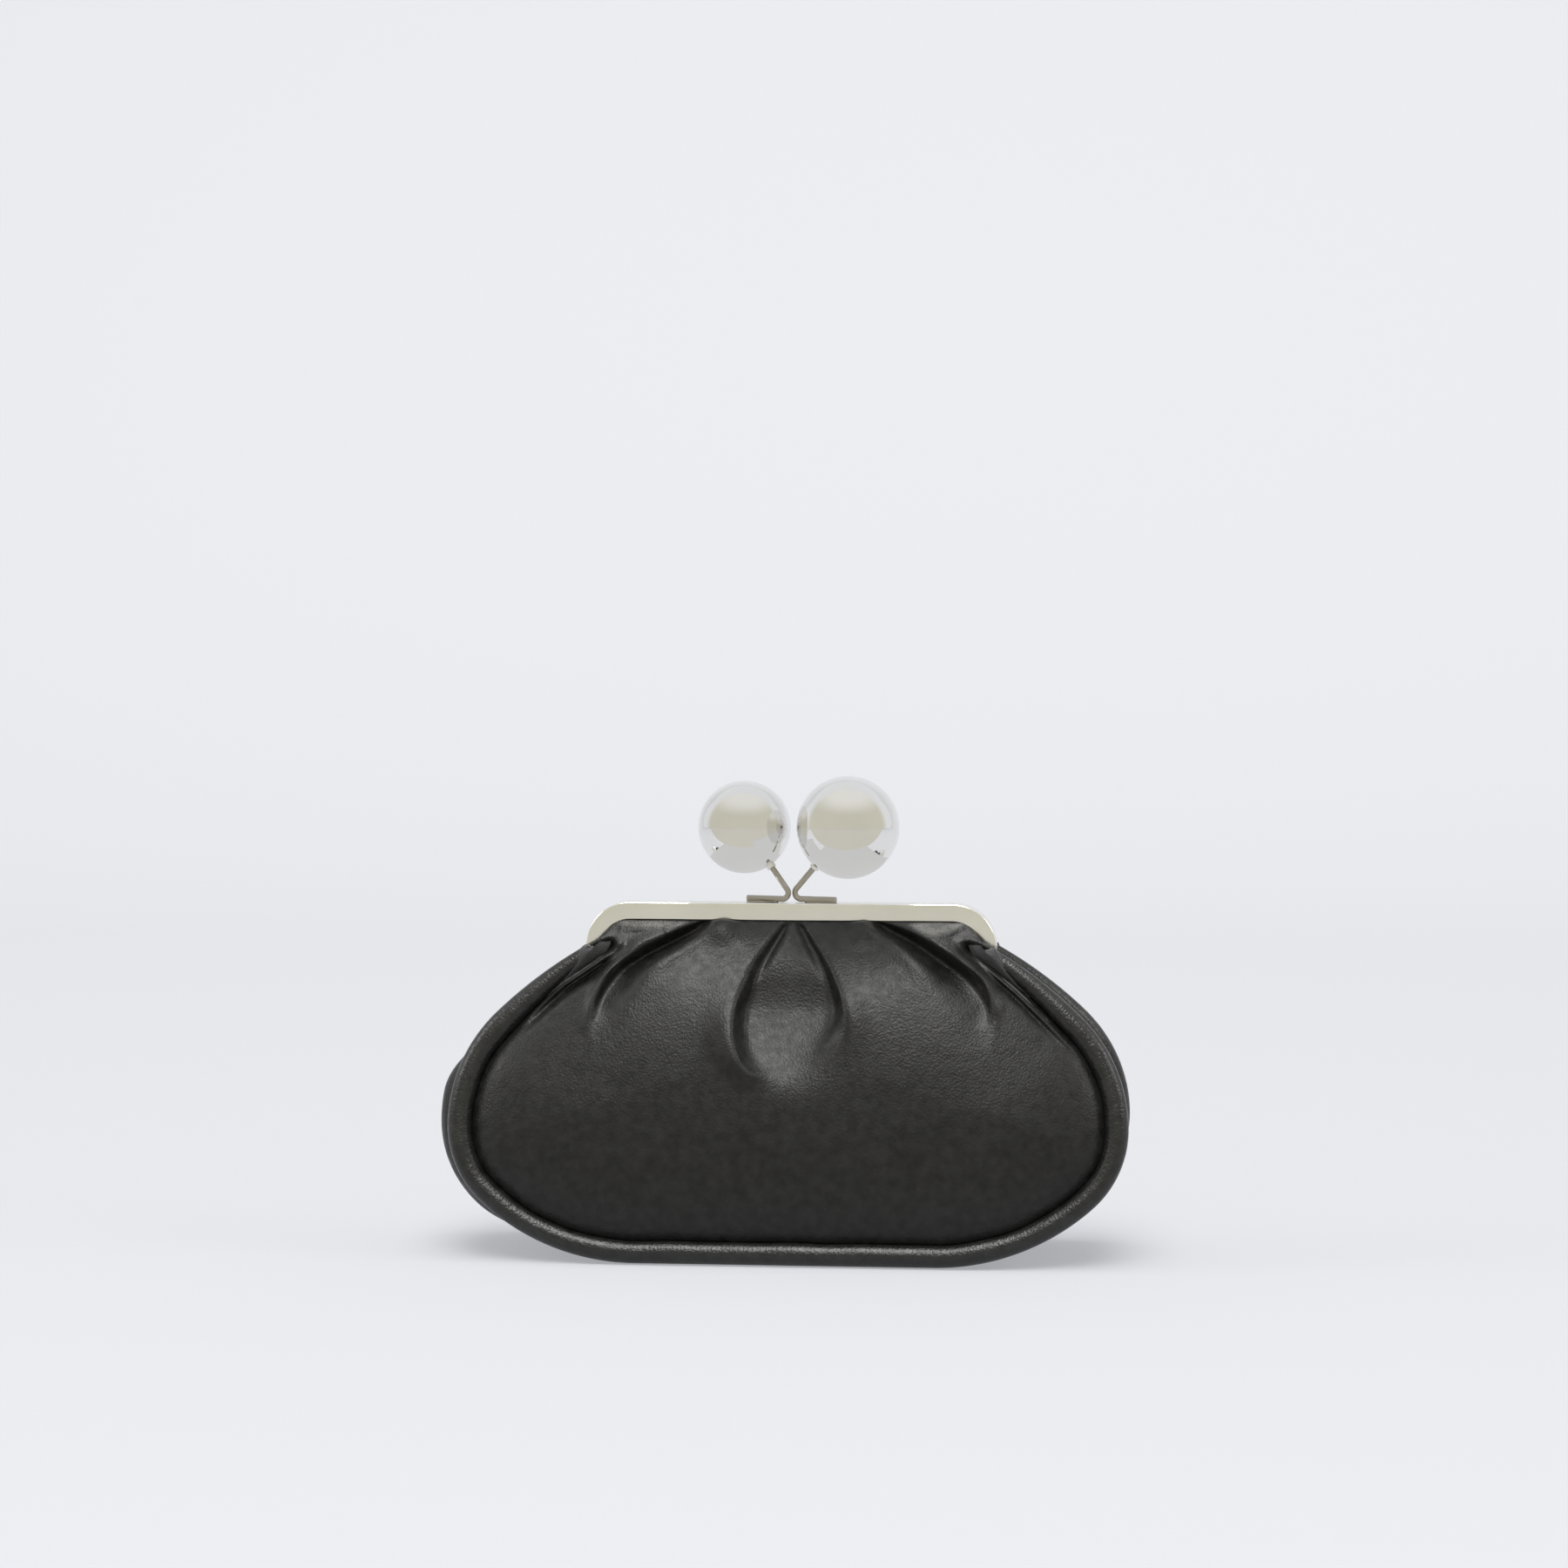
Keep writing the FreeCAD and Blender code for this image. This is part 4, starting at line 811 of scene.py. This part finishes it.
# The gathered leather of one face. Its edge runs along the seam below and in the frame's channel above, and
# each column is a straight line between the two in the seam's plane. The height is a crown that rises
# steeply from the seam and more gently from the frame, joined by a soft minimum, and the folds move it to
# the front and back.
def leatherGrid(facing, strength):
    shape = leatherShape
    columns, rows = shape["columns"], shape["rows"]
    radius = rollPath(1, shape["seamSteps"])[1]
    sAt, u, v, outU, outV = seamLine(shape["seamSteps"])
    inset = radius * shape["seamInset"] - (seam["rollRadius"] - radius)
    share = np.linspace(0, 1, columns)
    seamShare = (sAt - sAt[0]) / (sAt[-1] - sAt[0])
    lowH = -shape["seamSink"] * np.interp(share, seamShare, radius)
    lowU = np.interp(share, seamShare, u - outU * inset)
    lowV = np.interp(share, seamShare, v - outV * inset)
    middleX = archSize["halfWidth"] - archSize["cornerRadius"]
    middleZ = archSize["top"] - archSize["cornerRadius"]
    line = archLine(shape["topInset"], middleZ, legCount=2, cornerCount=60, barCount=200)[0]
    swing = np.degrees(np.arctan2(line[:, 1] - middleZ, np.abs(line[:, 0]) - middleX))
    line = line[(swing >= shape["topStart"]) | (np.abs(line[:, 0]) < middleX)]
    lineLength = lengthAlong(line)
    topX = np.interp(share * lineLength[-1], lineLength, line[:, 0])
    topZ = np.interp(share * lineLength[-1], lineLength, line[:, 1])
    rise, deep = topZ - seam["startHeight"], seam["startDepth"] - shape["topDepth"]
    topV = rise * leanCos + deep * leanSin
    topH = rise * leanSin - deep * leanCos
    fine = np.linspace(0, 1, shape["fineSteps"])
    density = np.cumsum(1 / np.interp(fine, shape["rowPlaces"], shape["rowSteps"]))
    t = np.interp(np.linspace(0, 1, rows), (density - density[0]) / (density[-1] - density[0]), fine)
    gridU = topX[None] + (lowU - topX)[None] * t[:, None]
    gridV = topV[None] + (lowV - topV)[None] * t[:, None]
    flat = np.stack([gridU, gridV], axis=-1).reshape(-1, 2)
    seamGap = nearLine(flat, np.stack([lowU, lowV], axis=-1)[::2])[0].reshape(rows, columns)
    topGap = np.hypot(gridU - topX[None], gridV - topV[None])
    seamPart = np.clip(seamGap / shape["seamReach"], 0, 1)
    topPart = np.clip(topGap / shape["topReach"], 0, 1)
    turnOut = shape["seamTurn"] * (1 - np.exp(-seamGap / shape["seamTurnLength"]))
    fromSeam = lowH[None] + turnOut + shape["crown"] * (1 - (1 - seamPart) ** 2)
    fromTop = topH[None] + shape["topRise"] * (1 - (1 - topPart) ** shape["topPower"])
    inwards = smoothStep(np.minimum(seamGap, topGap), 0.0, shape["softReach"])
    soft = shape["softness"] * inwards + shape["softLeast"]
    height = -soft * np.logaddexp(-fromSeam / soft, -fromTop / soft)
    points = onSeamPlane(gridU, gridV, height, 1)
    topFade = smoothStep(topGap, shape["foldFrom"], shape["foldFade"])
    fade = topFade * smoothStep(seamGap, 0.0, shape["seamFade"])
    lift = foldLift(points[..., 0], points[..., 2], strength) * fade
    ahead = (lift - points[..., 1] - shape["deepest"]) / shape["deepSoft"]
    points[..., 1] = -shape["deepest"] - shape["deepSoft"] * np.logaddexp(0, ahead)
    band = smoothStep(topGap, *shape["puffFrom"]) * (1 - smoothStep(topGap, *shape["puffTo"]))
    for puff in puffs:
        spread = np.exp(-((points[..., 0] - puff["x"]) / puff["half"]) ** 2)
        points[..., 2] += puff["rise"] * spread * band
        points[..., 1] -= puff["push"] * spread * band
    points[..., 1] *= facing
    return points


# Normals of a grid surface from its two tangents, turned to the wanted side, and whether they lay there
# already.
def gridNormals(points, wanted):
    normals = unit(np.cross(np.gradient(points, axis=0), np.gradient(points, axis=1)))
    towards = normals[points.shape[0] // 2, points.shape[1] // 2] @ np.asarray(wanted)
    return normals * np.sign(towards), towards > 0


# A sheet with its faces to the wanted side, thickened to the inside with Solidify.
def makeSheet(name, points, wanted, thickness, material):
    quads = gridQuads(*points.shape[:2])
    if gridNormals(points, wanted)[1]:
        quads = quads[:, ::-1]
    sheet = makePiece(name, points, quads, material, closed=False)
    solid = sheet.modifiers.new("thickness", "SOLIDIFY")
    solid.thickness = thickness * mm
    solid.offset = -1.0
    solid.use_even_offset = False
    return sheet


# The leather of one face and its lining behind it. Their edges lie inside the channel and behind the roll.
def buildLeather(prefix, facing, strength):
    shape = leatherShape
    points = leatherGrid(facing, strength)
    outward = (0.0, -facing, 0.3)
    leather = makeSheet(prefix + "Leather", points, outward, shape["thickness"], blackLeather)
    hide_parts(prefix + "_panel", prefix + "_gather")
    inner = (points - gridNormals(points, outward)[0] * shape["liningGap"])[::2, ::2]
    lining = makeSheet(prefix + "Lining", inner, outward, shape["liningThickness"], liningTwill)
    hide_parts(prefix + "_lining", prefix + "_gather_lining")
    for sheet in (leather, lining):
        blendLeather(sheet)


buildLeather("front", 1, 1.0)
buildLeather("back", -1, 0.9)
print("gathered leather and linings made")


gussetShape = {
    "halfCount": 150, "across": 44, "evenShare": 0.7, "topHeight": 113.5, "seamInset": 0.4, "lowest": 0.05,
    "edgeOut": 1.2, "baseOut": 4.9, "leftOut": 9.8, "rightOut": 2.6, "sideFrom": 2.0, "sideTo": 22.0,
    "swellPower": 6, "foldPower": 1.6, "tuck": 15.0, "tuckFrom": 58.0, "tuckLength": 45.0,
    "thickness": 1.2, "liningGap": 2.0, "liningThickness": 0.4, "flat": (0.45, 0.075), "cutShare": 0.8,
}


# The gusset between the rolls: across, it swells from both seams; along, it follows the seam line and folds
# inwards towards the hinges at its ends.
def buildGusset():
    shape = gussetShape
    u, v, outU, outV = seamLine(shape["halfCount"])[1:]
    keep = seam["startHeight"] + v * leanCos <= shape["topHeight"]
    u, v, outU, outV = u[keep], v[keep], outU[keep], outV[keep]
    w = np.linspace(-1, 1, shape["across"])
    w = shape["evenShare"] * w + (1 - shape["evenShare"]) * np.sin(w * math.pi / 2)
    sideOut = np.where(u < 0, shape["leftOut"], shape["rightOut"])
    sideShare = smoothStep(v, shape["sideFrom"], shape["sideTo"])
    middleOut = shape["baseOut"] + (sideOut - shape["baseOut"]) * sideShare
    topShare = smoothStep(v, shape["tuckFrom"], shape["tuckFrom"] + shape["tuckLength"])
    swell = (1 - w ** shape["swellPower"])[None]
    fold = (1 - np.abs(w) ** shape["foldPower"])[None]
    bulge = (middleOut - shape["edgeOut"]) * (1 - topShare)
    out = shape["edgeOut"] + bulge[:, None] * swell - shape["tuck"] * topShare[:, None] * fold
    halfDepth = seam["startDepth"] - v * leanSin - shape["seamInset"]
    z = seam["startHeight"] + v[:, None] * leanCos + out * outV[:, None] * leanCos
    points = np.stack([u[:, None] + out * outU[:, None], halfDepth[:, None] * w[None],
                       np.maximum(z, shape["lowest"])], axis=-1)
    down = (0, 0, -1)
    gusset = makeSheet("gussetBand", points, down, shape["thickness"], blackLeather)
    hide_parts("gusset")
    inner = points - gridNormals(points, down)[0] * shape["liningGap"]
    lining = makeSheet("gussetLining", inner, down, shape["liningThickness"], liningTwill)
    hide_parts("gusset_lining")
    for sheet in (gusset, lining):
        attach(sheet, "pouch")


buildGusset()
print("gusset made")


studio = {
    "floorTone": (0.218, 0.221, 0.230), "glowTone": (0.99, 1.0, 1.055), "floorGlow": 0.355, "backGlow": 0.525,
    "glowFrom": 0.1, "floorHalf": 4.0, "floorFront": -4.0,
    "sweepStart": 1.4, "sweepRadius": 1.0, "sweepTop": 3.2, "sweepSteps": 24, "roughness": 0.9,
    "backTone": (0.80, 0.81, 0.83), "frontTone": (0.635, 0.62, 0.525), "frontHigh": (0.84, 0.83, 0.79),
    "backRange": (-0.05, 0.25), "highRange": (0.45, 0.95), "strength": 1.0,
    "cardTone": (0.655, 0.64, 0.575), "cardNear": -0.14, "cardFar": -3.0, "cardHeight": 0.002,
    "ballCardTone": (0.66, 0.665, 0.67), "ballCardShare": 1.25, "ballCardAhead": 0.2,
}
cameraPlace = {
    "distance": 1.56, "height": 0.262, "aimHeight": 0.1846, "aimX": -0.0030, "azimuth": 5.5, "lens": 91.3,
    "sensor": 36.0, "nearest": 0.05, "farthest": 30.0,
}
softboxes = {
    "topSoftbox": {"place": (0, -0.35, 3.0), "size": 2.2, "power": 64},
    "frontSoftbox": {"place": (0, -1.8, 2.7), "size": 1.8, "power": 74},
    "leftSoftbox": {"place": (-2.6, -0.4, 1.6), "size": 1.2, "power": 20},
    "rightSoftbox": {"place": (2.6, -0.4, 1.6), "size": 1.2, "power": 20},
}
softboxAim = np.array([0, 0, 0.1])
scene = bpy.context.scene


# A piece of the studio with a dull surface that gives off light of its own.
def addGlowing(name, points, faces, tone, glow):
    mesh = bpy.data.meshes.new(name)
    mesh.from_pydata(points, [], faces)
    mesh.polygons.foreach_set("use_smooth", np.ones(len(mesh.polygons), dtype=bool))
    material, shader = newMaterial(name)
    values = {"Base Color": tone + (1,), "Roughness": studio["roughness"], "Specular IOR Level": 0.0,
              "Emission Color": glow + (1,), "Emission Strength": 1.0}
    for socket, value in values.items():
        shader.inputs[socket].default_value = value
    mesh.materials.append(material)
    piece = bpy.data.objects.new(name, mesh)
    scene.collection.objects.link(piece)
    return piece, material, shader


# A pale floor that curves up into a backdrop: a line, a quarter circle and a line, carried sideways.
def buildFloor():
    swing = np.linspace(-math.pi / 2, 0, studio["sweepSteps"])
    back = studio["sweepStart"] + studio["sweepRadius"]
    bow = np.stack([studio["sweepStart"] + studio["sweepRadius"] * np.cos(swing),
                    studio["sweepRadius"] * (1 + np.sin(swing))], axis=-1)
    line = np.vstack([[[studio["floorFront"], 0]], bow, [[back, studio["sweepTop"]]]])
    sideways = np.array([-studio["floorHalf"], studio["floorHalf"]])
    spots = [np.broadcast_to(part, (len(line), 2)) for part in (sideways[None], line[:, :1], line[:, 1:])]
    points = np.stack(spots, axis=-1).reshape(-1, 3).tolist()
    quads = gridQuads(len(line), 2)[:, ::-1].tolist()
    tones = studio["floorTone"], studio["glowTone"]
    floor, material, shader = addGlowing("studioFloor", points, quads, *tones)
    where = addNode(material, "ShaderNodeTexCoord")
    split = readNode(material, "ShaderNodeSeparateXYZ", where, "Object")
    limits = {"From Min": studio["glowFrom"], "From Max": back,
              "To Min": studio["floorGlow"], "To Max": studio["backGlow"]}
    glow = addNode(material, "ShaderNodeMapRange", limits)
    join(material, split, "Y", glow, "Value")
    join(material, glow, "Result", shader, "Emission Strength")


# A level card, seen only in reflections.
def buildCard(name, lowX, lowY, highX, highY, z, glow):
    corners = [(lowX, lowY, z), (highX, lowY, z), (highX, highY, z), (lowX, highY, z)]
    card = addGlowing(name, corners, [[0, 1, 2, 3]], (0, 0, 0), glow)[0]
    card.visible_camera = False
    card.visible_diffuse = False
    card.visible_shadow = False


# A dull card in front of the purse, as the studio beyond the table's edge, and a pale one under each ball.
def buildCards():
    half = studio["floorHalf"]
    buildCard("studioCard", -half, studio["cardFar"], half, studio["cardNear"], studio["cardHeight"],
              studio["cardTone"])
    for node in ("large_ball", "small_ball"):
        low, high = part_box(node)
        reach = studio["ballCardShare"] * (high[0] - low[0]) / 2
        middleX = (low[0] + high[0]) / 2
        middleY = (low[1] + high[1]) / 2 - studio["ballCardAhead"] * reach
        buildCard(node.split("_")[0] + "BallCard", middleX - reach, middleY - reach, middleX + reach,
                  middleY + reach, low[2] - mm, studio["ballCardTone"])


# The surround: pale behind, beige-grey in front with a lighter part high up.
def buildWorld():
    world = bpy.data.worlds.new("studioSurround")
    scene.world = world
    world.use_nodes = True
    background = world.node_tree.nodes["Background"]
    way = addNode(world, "ShaderNodeTexCoord")
    split = readNode(world, "ShaderNodeSeparateXYZ", way, "Generated")
    shares = []
    for axis, (low, high) in (("Z", studio["highRange"]), ("Y", studio["backRange"])):
        limits = {"From Min": low, "From Max": high}
        share = addNode(world, "ShaderNodeMapRange", limits, interpolation_type="SMOOTHSTEP")
        join(world, split, axis, share, "Value")
        shares.append(share)
    frontTone, frontHigh, backTone = (studio[key] + (1,) for key in ("frontTone", "frontHigh", "backTone"))
    front = toneMix(world, shares[0], "Result", frontTone, frontHigh)
    around = toneMix(world, shares[1], "Result", frontTone, backTone)
    join(world, front, "Result", around, "A")
    join(world, around, "Result", background, "Color")
    background.inputs["Strength"].default_value = studio["strength"]


def addCamera():
    place = cameraPlace
    turn, distance = math.radians(place["azimuth"]), place["distance"]
    pitch = math.atan2(place["height"] - place["aimHeight"], distance)
    data = bpy.data.cameras.new("photoCamera")
    data.lens = place["lens"]
    data.sensor_width = place["sensor"]
    data.clip_start, data.clip_end = place["nearest"], place["farthest"]
    camera = bpy.data.objects.new("photoCamera", data)
    camera.location = (place["aimX"] + distance * math.sin(turn), -distance * math.cos(turn), place["height"])
    camera.rotation_euler = (math.pi / 2 - pitch, 0, turn)
    scene.collection.objects.link(camera)
    scene.camera = camera


# A round softbox. The shaded pieces don't take its light.
def addLight(name, place, size, power, shaded):
    data = bpy.data.lights.new(name, "AREA")
    data.shape = "DISK"
    data.size = size
    data.energy = power
    lamp = bpy.data.objects.new(name, data)
    way = softboxAim - np.asarray(place, float)
    lamp.location = place
    tilt, turn = math.acos(-way[2] / np.linalg.norm(way)), math.atan2(way[1], way[0]) - math.pi / 2
    lamp.rotation_euler = (tilt, 0, turn)
    scene.collection.objects.link(lamp)
    shade = bpy.data.collections.new(name + "Shade")
    lamp.light_linking.receiver_collection = shade
    for piece in shaded:
        shade.objects.link(piece)
    for entry in shade.collection_objects:
        entry.light_linking.link_state = "EXCLUDE"


buildFloor()
buildCards()
buildWorld()
addCamera()
for name, box in softboxes.items():
    addLight(name, box["place"], box["size"], box["power"], balls)
scene.view_settings.view_transform = "Standard"
print("studio made")
